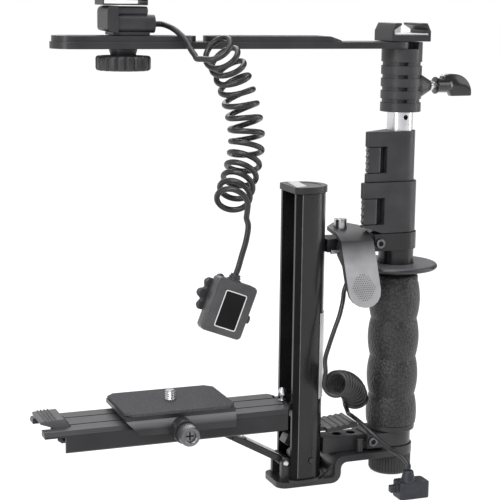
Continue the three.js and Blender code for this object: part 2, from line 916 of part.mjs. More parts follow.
function post() {
  const channel = outline([
    [POST.face - FIT.overrun, -POST.mouthHalfWidth],
    [POST.centreX - FIT.wall, -POST.mouthHalfWidth, FIT.wall],
    [POST.floorX, -POST.floorHalfWidth, FIT.wall],
    [POST.floorX, POST.floorHalfWidth, FIT.wall],
    [POST.centreX - FIT.wall, POST.mouthHalfWidth, FIT.wall],
    [POST.face - FIT.overrun, POST.mouthHalfWidth],
  ]);
  const leverSlot = box(
    [POST.floorX - FIT.overrun, POST.centreX + POST.halfWidth + FIT.overrun],
    [-FOLD_LEVER.tailHalfWidth - FIT.gap, FOLD_LEVER.tailHalfWidth + FIT.gap],
    [FOLD_LEVER.bottom - FOLD_LEVER.swing, FOLD_LEVER.bottom + FOLD_LEVER.thickness + FOLD_LEVER.swing],
  );
  const screwHole = rod(POST_SCREW.radius + FIT.gap, 'front', POST.mouthHalfWidth - FIT.overrun,
    POST.halfWidth + FIT.overrun, [POST_SCREW.x, 0, POST_SCREW.rise], SIDES.small);
  return cut(
    extruded(postOutline(), 'up', level.post, level.postTop),
    extruded(channel, 'up', level.post - FIT.overrun, level.postTop + FIT.overrun),
    leverSlot,
    screwHole,
  );
}

function postCap() {
  const bottom = level.postTop + FIT.gap;
  const top = bottom + POST.capThickness;
  const inlay = extruded(postOutline(-POST.inlayInset), 'up', top - FIT.skin, top + FIT.overrun);
  return cut(extruded(postOutline(POST.capOverhang), 'up', bottom, top), inlay);
}

function postLabel() {
  const inner = POST.halfWidth + FIT.gap / 2;
  const outer = inner + LABEL.thickness;
  const steps = 10;
  const arc = (radius) => Array.from({ length: steps + 1 }, (_, step) => {
    const turn = -LABEL.halfAngle + (2 * LABEL.halfAngle * step) / steps;
    return new THREE.Vector2(POST.centreX + radius * Math.cos(turn), radius * Math.sin(turn));
  });
  return extruded([...arc(outer), ...arc(inner).reverse()], 'up', LABEL.bottom, LABEL.top);
}

function postScrew() {
  const end = POST.halfWidth + POST_SCREW.proud;
  return rod(POST_SCREW.radius, 'front', end - POST_SCREW.depth, end,
    [POST_SCREW.x, 0, POST_SCREW.rise], SIDES.small);
}

function foldLatch() {
  return extruded(outline([
    [LATCH.left, LATCH.nose],
    [LATCH.heel, LATCH.bottom],
    [LATCH.right, LATCH.bottom],
    [LATCH.right, LATCH.top, LATCH.round],
    [LATCH.left + LATCH.round, LATCH.top, LATCH.round],
  ]), 'front', -LATCH.halfWidth, LATCH.halfWidth);
}

function foldLever() {
  const tail = box(
    [FOLD_LEVER.tailEnd, FOLD_LEVER.root + FIT.skin],
    [-FOLD_LEVER.tailHalfWidth, FOLD_LEVER.tailHalfWidth],
    [FOLD_LEVER.bottom, FOLD_LEVER.bottom + FOLD_LEVER.thickness],
  );
  const run = FOLD_LEVER.tip - FOLD_LEVER.root;
  const top = Array.from({ length: FOLD_LEVER.ribs * 2 }, (_, i) => {
    const share = (i + 0.5) / (FOLD_LEVER.ribs * 2);
    const rib = i % 2 === 0 ? 0 : FOLD_LEVER.ribHeight;
    return new THREE.Vector2(FOLD_LEVER.root + run * share,
      FOLD_LEVER.bottom + FOLD_LEVER.thickness + FOLD_LEVER.rise * share + rib);
  });
  const blade = [
    new THREE.Vector2(FOLD_LEVER.root, FOLD_LEVER.bottom),
    new THREE.Vector2(FOLD_LEVER.tip, FOLD_LEVER.bottom + FOLD_LEVER.rise),
    new THREE.Vector2(FOLD_LEVER.tip, FOLD_LEVER.bottom + FOLD_LEVER.rise + FOLD_LEVER.thickness),
    ...top.reverse(),
    new THREE.Vector2(FOLD_LEVER.root, FOLD_LEVER.bottom + FOLD_LEVER.thickness),
  ];
  return join(tail, extruded(blade, 'front', -FOLD_LEVER.halfWidth, FOLD_LEVER.halfWidth));
}

function earBolt() {
  const end = EAR.inner + EAR.thickness + FIT.gap;
  const dome = end + EAR.dome;
  return turned([
    [0, -dome],
    [EAR.domeRadius * 0.7, -dome + EAR.dome * 0.3],
    [EAR.domeRadius, -end],
    [EAR.boltRadius, -end],
    [EAR.boltRadius, end],
    [EAR.domeRadius, end],
    [EAR.domeRadius * 0.7, dome - EAR.dome * 0.3],
    [0, dome],
  ], 'front', [EAR.x, 0, EAR.height], SIDES.small);
}

/** A socket head screw that faces the viewer, with its head against a face at a depth. */
function socketScrew(x, face, height) {
  const seat = face + FIT.gap;
  const end = seat + SOCKET_SCREW.headHeight;
  const body = turned([
    [0, seat - SOCKET_SCREW.reach],
    [SOCKET_SCREW.shankRadius, seat - SOCKET_SCREW.reach],
    [SOCKET_SCREW.shankRadius, seat],
    [SOCKET_SCREW.headRadius, seat],
    [SOCKET_SCREW.headRadius, end],
    [0, end],
  ], 'front', [x, 0, height], SIDES.small);
  const hex = rod(SOCKET_SCREW.hexRadius, 'front', end - SOCKET_SCREW.hexDepth, end + FIT.overrun,
    [x, 0, height], 6);
  return cut(body, hex);
}

function screwHole(x, face, height) {
  return rod(SOCKET_SCREW.shankRadius + FIT.gap, 'front', face - SOCKET_SCREW.reach, face + FIT.overrun,
    [x, 0, height], SIDES.small);
}

function lowerBrace() {
  const { lowerBrace: bottom, lowerBraceTop: top } = level;
  const barBottom = level.plateTop + FIT.gap;
  const barLeft = POST.centreX + POST.halfWidth + FIT.gap;
  const bar = box([barLeft, 0], [-BRACE.lowerHalfWidth, BRACE.lowerHalfWidth],
    [barBottom, top - BRACE.lowerBarDrop]);
  const collar = rod(BRACE.lowerRadius, 'up', bottom, top);
  const ear = box([BRACE.earLeft, 0], [-BRACE.earHalfDepth, BRACE.earHalfDepth], [bottom, top]);
  const pin = rod(BRACE.pinRadius, 'up', barBottom, top - BRACE.pinDrop,
    [BRACE.pinX, BRACE.pinY, 0], SIDES.small);
  const web = box([BRACE.pinX, BRACE.earLeft + FIT.skin], [BRACE.pinY, 0],
    [bottom, bottom + BRACE.lowerHeight / 2]);
  const holes = BRACE.holeX.map((x) =>
    rod(BRACE.holeRadius, 'up', bottom, top + FIT.overrun, [x, 0, 0], SIDES.small));
  return cut(
    join(bar, collar, ear, pin, web),
    rod(TUBE.outerRadius + FIT.gap, 'up', bottom - FIT.overrun, top + FIT.overrun),
    rod(BASE.ringRadius + FIT.gap, 'up', 0, level.ringTop + FIT.gap / 2),
    screwHole(SCREW_AT.lowerX, BRACE.earHalfDepth, bottom + SCREW_AT.lowerRise),
    ...holes,
  );
}

function upperBrace() {
  const { upperBrace: bottom, upperBraceTop: top } = level;
  const barLeft = POST.centreX + POST.halfWidth + FIT.gap;
  const bar = box([barLeft, 0], [BRACE.upperFront, BRACE.upperBack], [bottom, bottom + BRACE.upperBarHeight]);
  const collar = rod(BRACE.upperRadius, 'up', bottom, top);
  const ear = box([BRACE.earLeft + FIT.wall, 0], [-BRACE.earHalfDepth, BRACE.earHalfDepth], [bottom, top]);
  return cut(
    join(bar, collar, ear),
    rod(TUBE.outerRadius + FIT.gap, 'up', bottom - FIT.overrun, top + FIT.overrun),
    screwHole(SCREW_AT.upperX, BRACE.earHalfDepth, bottom + SCREW_AT.upperRise),
  );
}

// Column

function columnTube() {
  const bore = TUBE.middleRadius + FIT.gap;
  return sleeve(TUBE.outerRadius, bore, level.plateTop + FIT.gap, level.upperBraceTop);
}

function footPlug() {
  const bottom = level.plateTop + FIT.gap;
  return sleeve(TUBE.middleRadius, KNOB.shankRadius + FIT.gap, bottom, bottom + PLUG.height, SIDES.small);
}

function gripSleeve() {
  const bore = TUBE.outerRadius + FIT.gap;
  const taperStart = GRIP.height - GRIP.topTaper;
  const steps = Math.round((SIDES.gripWaves * taperStart) / GRIP.pitch);
  const wave = Array.from({ length: steps + 1 }, (_, step) => {
    const rise = (taperStart * step) / steps;
    const turn = (2 * Math.PI * (rise - GRIP.firstSwell)) / GRIP.pitch;
    return [GRIP.radius + GRIP.swell * Math.cos(turn), level.grip + rise];
  });
  return turned([
    [bore, level.grip],
    ...wave,
    [GRIP.topRadius, level.gripTop],
    [bore, level.gripTop],
  ], 'up');
}

function gripRing() {
  const top = level.gripRing + GRIP.ringHeight;
  return sleeve(GRIP.ringRadius, TUBE.outerRadius + FIT.gap, level.gripRing, top);
}

function handGuard() {
  const bore = TUBE.outerRadius + FIT.gap;
  return turned([
    [bore, level.guardHub],
    [GUARD.hubRadius, level.guardHub],
    [GUARD.hubRadius, level.guard],
    [GUARD.radius - GUARD.edge, level.guard],
    [GUARD.radius, level.guard + GUARD.edge],
    [GUARD.radius, level.guardTop - GUARD.edge],
    [GUARD.radius - GUARD.edge, level.guardTop],
    [bore, level.guardTop],
  ], 'up', [0, 0, 0], 40);
}

/** Heights and depths that a flip lock's housing, lever and window share. */
function clampPlan(size, bottom) {
  const windowBottom = bottom + size.window;
  const front = size.radius - FIT.gap / 2;
  return {
    windowBottom,
    windowTop: windowBottom + size.windowHeight,
    windowBack: -size.radius + CLAMP.windowDepth,
    leverFront: -front,
    leverBack: -front + CLAMP.leverDepth,
    pivotX: size.leverRight - CLAMP.pivotRadius,
    tip: size.tailX - CLAMP.tailRadius + FIT.overrun / 2,
  };
}

function clampBody(size, bottom, bore) {
  const plan = clampPlan(size, bottom);
  const tail = [size.tailX, -size.radius + CLAMP.tailRadius, CLAMP.tailRadius];
  const top = bottom + size.height;
  return cut(
    extruded(tangentOutline([0, 0, size.radius], tail), 'up', bottom, top),
    rod(bore + FIT.gap, 'up', bottom - FIT.overrun, top + FIT.overrun),
    box(
      [size.tailX - CLAMP.tailRadius - FIT.overrun, size.windowRight],
      [-size.radius - FIT.overrun, plan.windowBack],
      [plan.windowBottom, plan.windowTop],
    ),
  );
}

function clampLever(size, bottom) {
  const plan = clampPlan(size, bottom);
  const [low, high] = [plan.windowBottom + FIT.gap, plan.windowTop - FIT.gap];
  const pivotY = plan.leverBack - CLAMP.pivotRadius;
  const plate = box([plan.tip, plan.pivotX], [plan.leverFront, plan.leverBack], [low, high]);
  const knuckle = rod(CLAMP.leverDepth / 2, 'up', low, high,
    [plan.pivotX, (plan.leverFront + plan.leverBack) / 2, 0], SIDES.small);
  const spare = (high - low - CLAMP.toothPitch * (CLAMP.teeth - 1)) / 2;
  const teeth = Array.from({ length: CLAMP.teeth }, (_, tooth) => rod(CLAMP.toothRadius, 'front',
    -pivotY, -plan.leverFront, [plan.tip, 0, low + spare + CLAMP.toothPitch * tooth], 8));
  return join(plate, knuckle, ...teeth);
}

function lowerClampBody() {
  const { lowerClamp: bottom } = level;
  const undercut = [
    [CLAMP.lower.tailX - FIT.overrun, bottom - FIT.overrun],
    [CLAMP.lower.tailX - FIT.overrun, bottom + CLAMP.undercutTip],
    [CLAMP.undercutX, bottom + CLAMP.undercutRise],
    [CLAMP.undercutEnd, bottom],
    [CLAMP.undercutEnd, bottom - FIT.overrun],
  ].map(([x, z]) => new THREE.Vector2(x, z));
  return cut(
    clampBody(CLAMP.lower, bottom, TUBE.middleRadius),
    extruded(undercut, 'front', -CLAMP.lower.radius, CLAMP.lower.radius + FIT.overrun),
  );
}

function middleTube() {
  const bottom = level.plateTop + FIT.gap + PLUG.height + TUBE.middleRise;
  return sleeve(TUBE.middleRadius, TUBE.studRadius + FIT.gap, bottom, level.upperClamp - FIT.gap);
}

function studTube() {
  const top = level.receiver + STUD.socketDepth;
  const cross = rod(STUD.crossHole, 'front', 0, TUBE.studRadius + FIT.overrun,
    [0, 0, level.upperClampTop + STUD.crossRise], SIDES.small);
  return cut(sleeve(TUBE.studRadius, TUBE.studBore, top - TUBE.studLength, top), cross);
}

function receiver() {
  const { receiver: bottom, receiverTop: top } = level;
  const grooves = RECEIVER.grooveRise.flatMap((rise) => [
    [RECEIVER.radius, bottom + rise],
    [RECEIVER.radius - RECEIVER.grooveDepth, bottom + rise],
    [RECEIVER.radius - RECEIVER.grooveDepth, bottom + rise + RECEIVER.grooveHeight],
    [RECEIVER.radius, bottom + rise + RECEIVER.grooveHeight],
  ]);
  const rim = RECEIVER.radius;
  const body = turned([[0, bottom], [rim, bottom], ...grooves, [rim, top], [0, top]], 'up');
  const boss = turned([
    [0, 0],
    [RECEIVER.bossRootRadius, 0],
    [RECEIVER.bossRootRadius, RECEIVER.radius - FIT.wall],
    [RECEIVER.bossTipRadius, RECEIVER.bossTip],
    [0, RECEIVER.bossTip],
  ], 'right', [0, 0, bottom + RECEIVER.bossRise], SIDES.small);
  const lip = cut(
    rod(RECEIVER.radius, 'up', top - FIT.skin, top + RECEIVER.lipHeight),
    box([-rim, RECEIVER.lipInner], [-rim, rim], [top, top + RECEIVER.lipHeight + FIT.overrun]),
  );
  const pockets = RECEIVER.grooveRise.map((rise) => box(
    [-RECEIVER.radius, RECEIVER.pocketRight],
    [-RECEIVER.radius, -RECEIVER.radius + RECEIVER.pocketDepth],
    [bottom + rise, bottom + rise + RECEIVER.grooveHeight],
  ));
  const socket = rod(TUBE.studRadius + FIT.gap, 'up',
    bottom - FIT.overrun, bottom + STUD.socketDepth + FIT.gap);
  const bolt = rod(ARM_BOLT.radius + FIT.gap, 'up', top - ARM_BOLT.depth, top + FIT.overrun,
    [0, 0, 0], SIDES.small);
  const screw = rod(WING.shankRadius + FIT.gap, 'right', TUBE.studRadius, RECEIVER.bossTip + FIT.overrun,
    [0, 0, bottom + RECEIVER.bossRise], SIDES.small);
  return cut(join(body, boss, lip), socket, bolt, screw, ...pockets);
}

function wingKnob() {
  const height = level.receiver + RECEIVER.bossRise;
  const flangeEnd = WING.flange + WING.flangeThickness;
  const stem = turned([
    [0, TUBE.studRadius + FIT.gap],
    [WING.shankRadius, TUBE.studRadius + FIT.gap],
    [WING.shankRadius, WING.flange],
    [WING.flangeRadius, WING.flange],
    [WING.flangeRadius, flangeEnd],
    [WING.stemRadius, flangeEnd],
    [WING.stemRadius, WING.stemEnd],
    [0, WING.stemEnd],
  ], 'right', [0, 0, height], SIDES.small);
  const blade = extruded(outline([
    [WING.left, height],
    [WING.left, height + WING.rise, WING.stemRadius / 2],
    [WING.right, height + WING.rise, WING.round * 2],
    [WING.right, height - WING.drop, WING.round / 3],
    [WING.stemEnd, height - WING.drop],
    [WING.stemEnd - WING.stemRadius, height],
  ]), 'front', -WING.halfThickness, WING.halfThickness);
  return join(stem, blade);
}

// Arm, shoe and cord head

const stadium = (left, right, halfWidth) => outline([
  [left, -halfWidth, halfWidth],
  [right, -halfWidth, halfWidth],
  [right, halfWidth, halfWidth],
  [left, halfWidth, halfWidth],
]);

function flashArm() {
  const bar = extruded(stadium(ARM.left, ARM.right, ARM.halfWidth), 'up', level.arm, level.armTop);
  const rims = ARM.rims.map(([left, right]) =>
    extruded(stadium(left, right, ARM.rimHalfWidth), 'up', level.armTop - FIT.skin, level.rimTop));
  const slots = ARM.rims.map(([left, right]) => extruded(
    stadium(left + ARM.rimWall, right - ARM.rimWall - ARM.taper / 2, ARM.slotHalfWidth), 'up',
    level.arm - FIT.overrun, level.rimTop + FIT.overrun));
  const [, rightRim] = ARM.rims;
  const taper = [
    [rightRim[1] - ARM.taper, level.rimTop],
    [rightRim[1] - ARM.taper, level.rimTop + FIT.overrun],
    [rightRim[1] + FIT.overrun, level.rimTop + FIT.overrun],
    [rightRim[1], level.armTop],
  ].map(([x, z]) => new THREE.Vector2(x, z));
  return cut(
    join(bar, ...rims),
    ...slots,
    extruded(taper, 'front', -ARM.halfWidth, ARM.halfWidth),
    rod(ARM_BOLT.radius + FIT.gap, 'up', level.arm - FIT.overrun, level.armTop + FIT.overrun,
      [0, 0, 0], SIDES.small),
  );
}

function coldShoe() {
  const { shoe: bottom } = level;
  const top = bottom + SHOE.height;
  const slotBottom = bottom + SHOE.floor;
  const slotTop = slotBottom + SHOE.slotHeight;
  const profile = outline([
    [-SHOE.halfWidth, bottom],
    [SHOE.halfWidth, bottom],
    [SHOE.halfWidth, top - SHOE.chamfer * 2],
    [SHOE.halfWidth - SHOE.chamfer, top],
    [SHOE.mouthHalfWidth, top],
    [SHOE.mouthHalfWidth, top - SHOE.lipEdge],
    [SHOE.slotHalfWidth, slotTop],
    [SHOE.slotHalfWidth, slotBottom],
    [-SHOE.slotHalfWidth, slotBottom],
    [-SHOE.slotHalfWidth, slotTop],
    [-SHOE.mouthHalfWidth, top - SHOE.lipEdge],
    [-SHOE.mouthHalfWidth, top],
    [-SHOE.halfWidth + SHOE.chamfer, top],
    [-SHOE.halfWidth, top - SHOE.chamfer * 2],
  ]);
  const head = ARM_BOLT.headRadius + FIT.gap;
  return cut(
    extruded(profile, 'front', -SHOE.halfDepth, SHOE.halfDepth),
    rod(ARM_BOLT.radius + FIT.gap, 'up', bottom - FIT.overrun, slotBottom + FIT.overrun,
      [0, 0, 0], SIDES.small),
    rod(head, 'up', slotBottom - ARM_BOLT.headHeight - FIT.gap * 2, slotBottom + FIT.overrun,
      [0, 0, 0], SIDES.small),
  );
}

function armBolt() {
  const headTop = level.shoe + SHOE.floor - FIT.gap;
  const seat = headTop - ARM_BOLT.headHeight;
  return turned([
    [0, level.receiverTop - ARM_BOLT.depth + FIT.gap],
    [ARM_BOLT.radius, level.receiverTop - ARM_BOLT.depth + FIT.gap],
    [ARM_BOLT.radius, seat],
    [ARM_BOLT.headRadius, seat],
    [ARM_BOLT.headRadius, headTop],
    [0, headTop],
  ], 'up', [0, 0, 0], SIDES.small);
}

function shoeSpring() {
  const bottom = level.shoe + SHOE.floor + FIT.gap;
  const reach = SHOE.slotHalfWidth - FIT.gap;
  const leaf = box([-reach, reach], [-SHOE.halfDepth, SHOE.halfDepth], [bottom, bottom + SPRING.thickness]);
  const tab = box(
    [-SPRING.tabHalfWidth, SPRING.tabHalfWidth],
    [SPRING.tabY, SPRING.tabY + SPRING.thickness],
    [bottom, bottom + SPRING.tabHeight],
  );
  return join(leaf, tab);
}

function headBody() {
  const { head: bottom } = level;
  const body = bottom + HEAD.footHeight;
  const waist = bottom + HEAD.waist;
  const foot = box([HEAD.footLeft, HEAD.footRight], [-HEAD.footHalfDepth, HEAD.footHalfDepth],
    [bottom, body + FIT.skin]);
  const barrel = (left, right, halfDepth, low, high) => extruded(outline([
    [-halfDepth, low, HEAD.round],
    [halfDepth, low, HEAD.round],
    [halfDepth, high, HEAD.round],
    [-halfDepth, high, HEAD.round],
  ]), 'right', left, right);
  const cheek = extruded(outline([
    [HEAD.left, body + FIT.wall, HEAD.round / 2],
    [HEAD.cheekRight, body],
    [HEAD.cheekRight, bottom + HEAD.cheekTop],
    [HEAD.left, bottom + HEAD.cheekTop, HEAD.round],
  ]), 'front', -HEAD.cheekHalfDepth, HEAD.cheekHalfDepth);
  const shank = rod(HEAD_KNOB.shankRadius, 'up', level.arm - HEAD_KNOB.shankReach, bottom + FIT.skin,
    [HEAD.x, 0, 0], SIDES.small);
  return cut(
    join(
      foot,
      shank,
      barrel(HEAD.left + HEAD.round, HEAD.lowerRight, HEAD.halfDepth, body, waist + FIT.skin),
      barrel(HEAD.left + HEAD.round, HEAD.upperRight, HEAD.halfDepth - HEAD.upperInset,
        waist, bottom + HEAD.top),
      cheek,
    ),
    rod(GLAND.collarRadius + FIT.gap, 'right', HEAD.lowerRight - FIT.overrun, HEAD.lowerRight + FIT.overrun,
      [0, 0, bottom + GLAND.rise], SIDES.small),
  );
}

function headRails() {
  const bottom = level.head + Math.max(HEAD.top, HEAD.cheekTop) + FIT.gap;
  const top = bottom + RAILS.height;
  const { left, right, sheet } = RAILS;
  return extruded([
    [left, bottom],
    [right, bottom],
    [right, top],
    [right - RAILS.rightLip, top],
    [right - RAILS.rightLip, top - sheet],
    [right - sheet, top - sheet],
    [right - sheet, bottom + sheet],
    [left + sheet, bottom + sheet],
    [left + sheet, top - sheet],
    [left + RAILS.leftLip, top - sheet],
    [left + RAILS.leftLip, top],
    [left, top],
  ].map(([x, z]) => new THREE.Vector2(x, z)), 'front', -RAILS.halfDepth, RAILS.halfDepth);
}

function headGland() {
  return turned([
    [0, HEAD.lowerRight - FIT.overrun + FIT.gap],
    [GLAND.collarRadius, HEAD.lowerRight - FIT.overrun + FIT.gap],
    [GLAND.collarRadius, HEAD.lowerRight + FIT.gap],
    [GLAND.radius, HEAD.lowerRight + FIT.gap],
    [GLAND.radius, GLAND.end - FIT.skin],
    [GLAND.collarRadius, GLAND.end],
    [0, GLAND.end],
  ], 'right', [0, 0, level.head + GLAND.rise], SIDES.small);
}

function headKnob() {
  const bottom = level.arm - HEAD_KNOB.drop;
  const top = bottom + HEAD_KNOB.height;
  const centre = [HEAD.x, 0, 0];
  const shell = extruded(
    lobedOutline(HEAD_KNOB.radius, HEAD_KNOB.lobeDepth, HEAD_KNOB.lobes, 4, [HEAD.x, 0]), 'up', bottom, top);
  const cup = rod(HEAD_KNOB.cupRadius, 'up', bottom + HEAD_KNOB.floor, top + FIT.overrun, centre);
  const hub = turned([
    [0, bottom + FIT.skin],
    [HEAD_KNOB.hubRadius - HEAD_KNOB.hubFlare, bottom + FIT.skin],
    [HEAD_KNOB.hubRadius - HEAD_KNOB.hubFlare, top],
    [HEAD_KNOB.hubRadius, top + HEAD_KNOB.hubFlare],
    [HEAD_KNOB.hubRadius - HEAD_KNOB.hubFlare, level.arm - FIT.gap],
    [0, level.arm - FIT.gap],
  ], 'up', centre);
  const bore = rod(HEAD_KNOB.shankRadius + FIT.gap, 'up', level.arm - HEAD_KNOB.shankReach - FIT.gap,
    level.arm + FIT.overrun, centre, SIDES.small);
  return cut(join(cut(shell, cup), hub), bore);
}

// Tray and its plate

function trayRail() {
  const { deckTop: top, halfWidth, wall, bottom } = TRAY;
  const under = top - TRAY.deckThickness;
  const profile = outline([
    [-halfWidth + TRAY.bevelRun, top],
    [-halfWidth, top - TRAY.bevelDrop],
    [-halfWidth, bottom + TRAY.chamfer],
    [-halfWidth + TRAY.chamfer, bottom],
    [-halfWidth + wall, bottom],
    [-halfWidth + wall, under],
    [halfWidth - wall, under],
    [halfWidth - wall, bottom],
    [halfWidth - TRAY.chamfer, bottom],
    [halfWidth, bottom + TRAY.chamfer],
    [halfWidth, top - TRAY.bevelDrop],
    [halfWidth - TRAY.bevelRun, top],
  ]);
  const body = extruded(profile, 'right', TRAY.prongTip, TRAY.tongueEnd);
  const grooves = [-TRAY.grooveY, TRAY.grooveY].map((y) => box(
    [TRAY.prongTip - FIT.overrun, TRAY.right + FIT.overrun],
    [y - TRAY.grooveWidth / 2, y + TRAY.grooveWidth / 2],
    [top - TRAY.grooveDepth, top + FIT.overrun],
  ));
  const prongSlot = extruded(outline([
    [TRAY.prongTip - FIT.overrun, -TRAY.prongInner],
    [TRAY.slotRoot, -TRAY.prongInner, FIT.wall],
    [TRAY.slotRoot, TRAY.prongInner, FIT.wall],
    [TRAY.prongTip - FIT.overrun, TRAY.prongInner],
  ]), 'up', bottom, top + FIT.overrun);
  const belowProngs = box([TRAY.prongTip - FIT.overrun, TRAY.left], [-halfWidth, halfWidth], [bottom, under]);
  const tongue = HINGE.earInner - FIT.gap;
  const cornerPlan = (side) => [
    [TRAY.notchX, side * tongue],
    [TRAY.tongueEnd + FIT.overrun, side * tongue],
    [TRAY.tongueEnd + FIT.overrun, side * (halfWidth + FIT.overrun)],
    [TRAY.right - TRAY.cornerStep, side * (halfWidth + FIT.overrun)],
    [TRAY.right - TRAY.cornerStep, side * halfWidth],
    [TRAY.right, side * (halfWidth - TRAY.cornerRun)],
    [TRAY.right, side * (POST.mouthHalfWidth + FIT.wall)],
    [TRAY.notchX, side * (POST.mouthHalfWidth + FIT.wall)],
  ].map(([x, y]) => new THREE.Vector2(x, y));
  const corners = [1, -1].map((side) =>
    extruded(cornerPlan(side), 'up', bottom - FIT.overrun, top + FIT.overrun));
  const trunnion = rod(HINGE.radius, 'front', -POST.mouthHalfWidth + FIT.wall, POST.mouthHalfWidth - FIT.wall,
    [HINGE.x, 0, HINGE.height], SIDES.small);
  const knuckle = rod(top - HINGE.height, 'front', -tongue, tongue, [HINGE.x, 0, HINGE.height], SIDES.small);
  const plungerHole = rod(PLUNGER.shankRadius + FIT.gap, 'up', bottom, top + FIT.overrun,
    [HINGE.x, 0, 0], SIDES.small);
  return cut(
    join(cut(body, prongSlot, belowProngs, ...grooves, ...corners), trunnion, knuckle),
    plungerHole,
  );
}

function hingeBracket() {
  const outer = POST.mouthHalfWidth - FIT.gap;
  const blockLeft = TRAY.tongueEnd + FIT.gap * 2;
  const block = box([blockLeft, POST.centreX - FIT.wall], [-outer, outer],
    [HINGE_BLOCK.bottom, HINGE_BLOCK.top]);
  const ear = outline([
    [HINGE.x - HINGE.earRadius, HINGE.height - HINGE.earRadius, HINGE.earRadius],
    [blockLeft + FIT.skin, HINGE.height - HINGE.earRadius],
    [blockLeft + FIT.skin, HINGE.height + HINGE.earRadius],
    [HINGE.x - HINGE.earRadius, HINGE.height + HINGE.earRadius, HINGE.earRadius],
  ]);
  const pocket = box([blockLeft - FIT.overrun, blockLeft + FIT.overrun * 2],
    [-HINGE.earInner, HINGE.earInner], [HINGE_BLOCK.bottom - FIT.overrun, HINGE_BLOCK.top + FIT.overrun]);
  const swept = PLUNGER.domeRadius + FIT.gap * 2;
  const plungerSlot = box([blockLeft - FIT.overrun, POST.centreX], [-swept, swept],
    [HINGE.height - swept, HINGE_BLOCK.top + FIT.overrun]);
  return cut(
    join(
      block,
      extruded(ear, 'front', HINGE.earInner, outer),
      extruded(ear, 'front', -outer, -HINGE.earInner),
    ),
    pocket,
    plungerSlot,
    rod(HINGE.radius + FIT.gap, 'front', -outer - FIT.overrun, outer + FIT.overrun,
      [HINGE.x, 0, HINGE.height], SIDES.small),
  );
}

function endLever() {
  const ribs = Array.from({ length: END_LEVER.ribs }, (_, rib) => {
    const x = END_LEVER.tip + END_LEVER.firstRib + END_LEVER.ribPitch * rib;
    const share = (x - END_LEVER.tip) / (END_LEVER.heel - END_LEVER.tip);
    const top = END_LEVER.tipTop + (END_LEVER.heelTop - END_LEVER.tipTop) * share;
    const half = END_LEVER.ribPitch / 4;
    const crest = top + END_LEVER.ribHeight;
    return [[x - half, top], [x - half / 2, crest], [x + half / 2, crest], [x + half, top]];
  }).flat();
  const side = outline([
    [END_LEVER.tip, END_LEVER.tipBottom],
    [END_LEVER.tip, END_LEVER.tipTop],
    ...ribs,
    [END_LEVER.heel, END_LEVER.heelTop],
    [END_LEVER.root, END_LEVER.neckTop],
    [END_LEVER.root, END_LEVER.keelBottom],
    [END_LEVER.keelX, END_LEVER.keelBottom],
    [END_LEVER.keelX, END_LEVER.keelTop],
  ]);
  return extruded(side, 'front', -END_LEVER.halfWidth, END_LEVER.halfWidth);
}

function endPin() {
  return turned([
    [0, END_PIN.tip],
    [END_PIN.tipRadius, END_PIN.tip],
    [END_PIN.radius, END_PIN.shoulder],
    [END_PIN.radius, END_PIN.end],
    [0, END_PIN.end],
  ], 'right', [0, END_PIN.y, END_PIN.height], SIDES.small);
}

function lockPlunger() {
  const seat = TRAY.deckTop + FIT.gap;
  const dome = TRAY.deckTop + PLUNGER.domeBottom;
  const top = dome + PLUNGER.domeHeight;
  return turned([
    [0, seat - PLUNGER.shank],
    [PLUNGER.shankRadius, seat - PLUNGER.shank],
    [PLUNGER.shankRadius, seat],
    [PLUNGER.washerRadius, seat],
    [PLUNGER.washerRadius, seat + PLUNGER.washer],
    [PLUNGER.stemRadius, seat + PLUNGER.washer],
    [PLUNGER.stemRadius, dome - FIT.skin],
    [PLUNGER.domeRadius * 0.8, dome - FIT.skin],
    [PLUNGER.domeRadius, dome],
    [PLUNGER.domeRadius, dome + PLUNGER.domeHeight * 0.35],
    [PLUNGER.domeRadius * 0.75, dome + PLUNGER.domeHeight * 0.78],
    [PLUNGER.domeRadius * 0.3, top],
    [0, top],
  ], 'up', [HINGE.x, 0, 0], SIDES.small);
}

/** The strut, its strip and its shoe, drawn along -X from the ear bolt and then raised to the tray. */
function strutGroup() {
  const climb = HINGE.height - STRUT.drop - EAR.height;
  const half = STRUT.thickness / 2;
  const bar = box([-STRUT.length, 0], [-STRUT.halfWidth, STRUT.halfWidth], [-half, half]);
  const eye = rod(STRUT.eyeRadius, 'front', -STRUT.halfWidth, STRUT.halfWidth, [0, 0, 0], SIDES.small);
  const reach = STRUT.halfWidth + FIT.overrun;
  const hole = rod(EAR.boltRadius + FIT.gap, 'front', -reach, reach,
    [0, 0, 0], SIDES.small);
  const strip = box([-STRUT.stripEnd, -STRUT.stripStart], [-STRUT.stripHalfWidth, STRUT.stripHalfWidth],
    [half + FIT.gap, half + FIT.gap + STRUT.stripThickness]);
  const shoeEnd = -STRUT.length - FIT.gap;
  const shoe = extruded(outline([
    [shoeEnd - STRUT.shoeLength, -half, half],
    [shoeEnd, -half],
    [shoeEnd, STRUT.shoeThickness - half],
    [shoeEnd - STRUT.shoeLength, STRUT.shoeThickness - half, half],
  ]), 'front', -STRUT.halfWidth, STRUT.halfWidth);
  const group = new THREE.Group();
  group.position.set(EAR.x, 0, EAR.height);
  group.rotation.y = Math.asin(climb / STRUT.length);
  group.add(
    part('strut', cut(join(bar, eye), hole), 0x2e2e30, 0.45, 0.4),
    part('strut_strip', strip, 0xd8d8da, 0.35, 0.6),
    part('strut_shoe', shoe, 0x1c1c1e, 0.6),
  );
  return group;
}

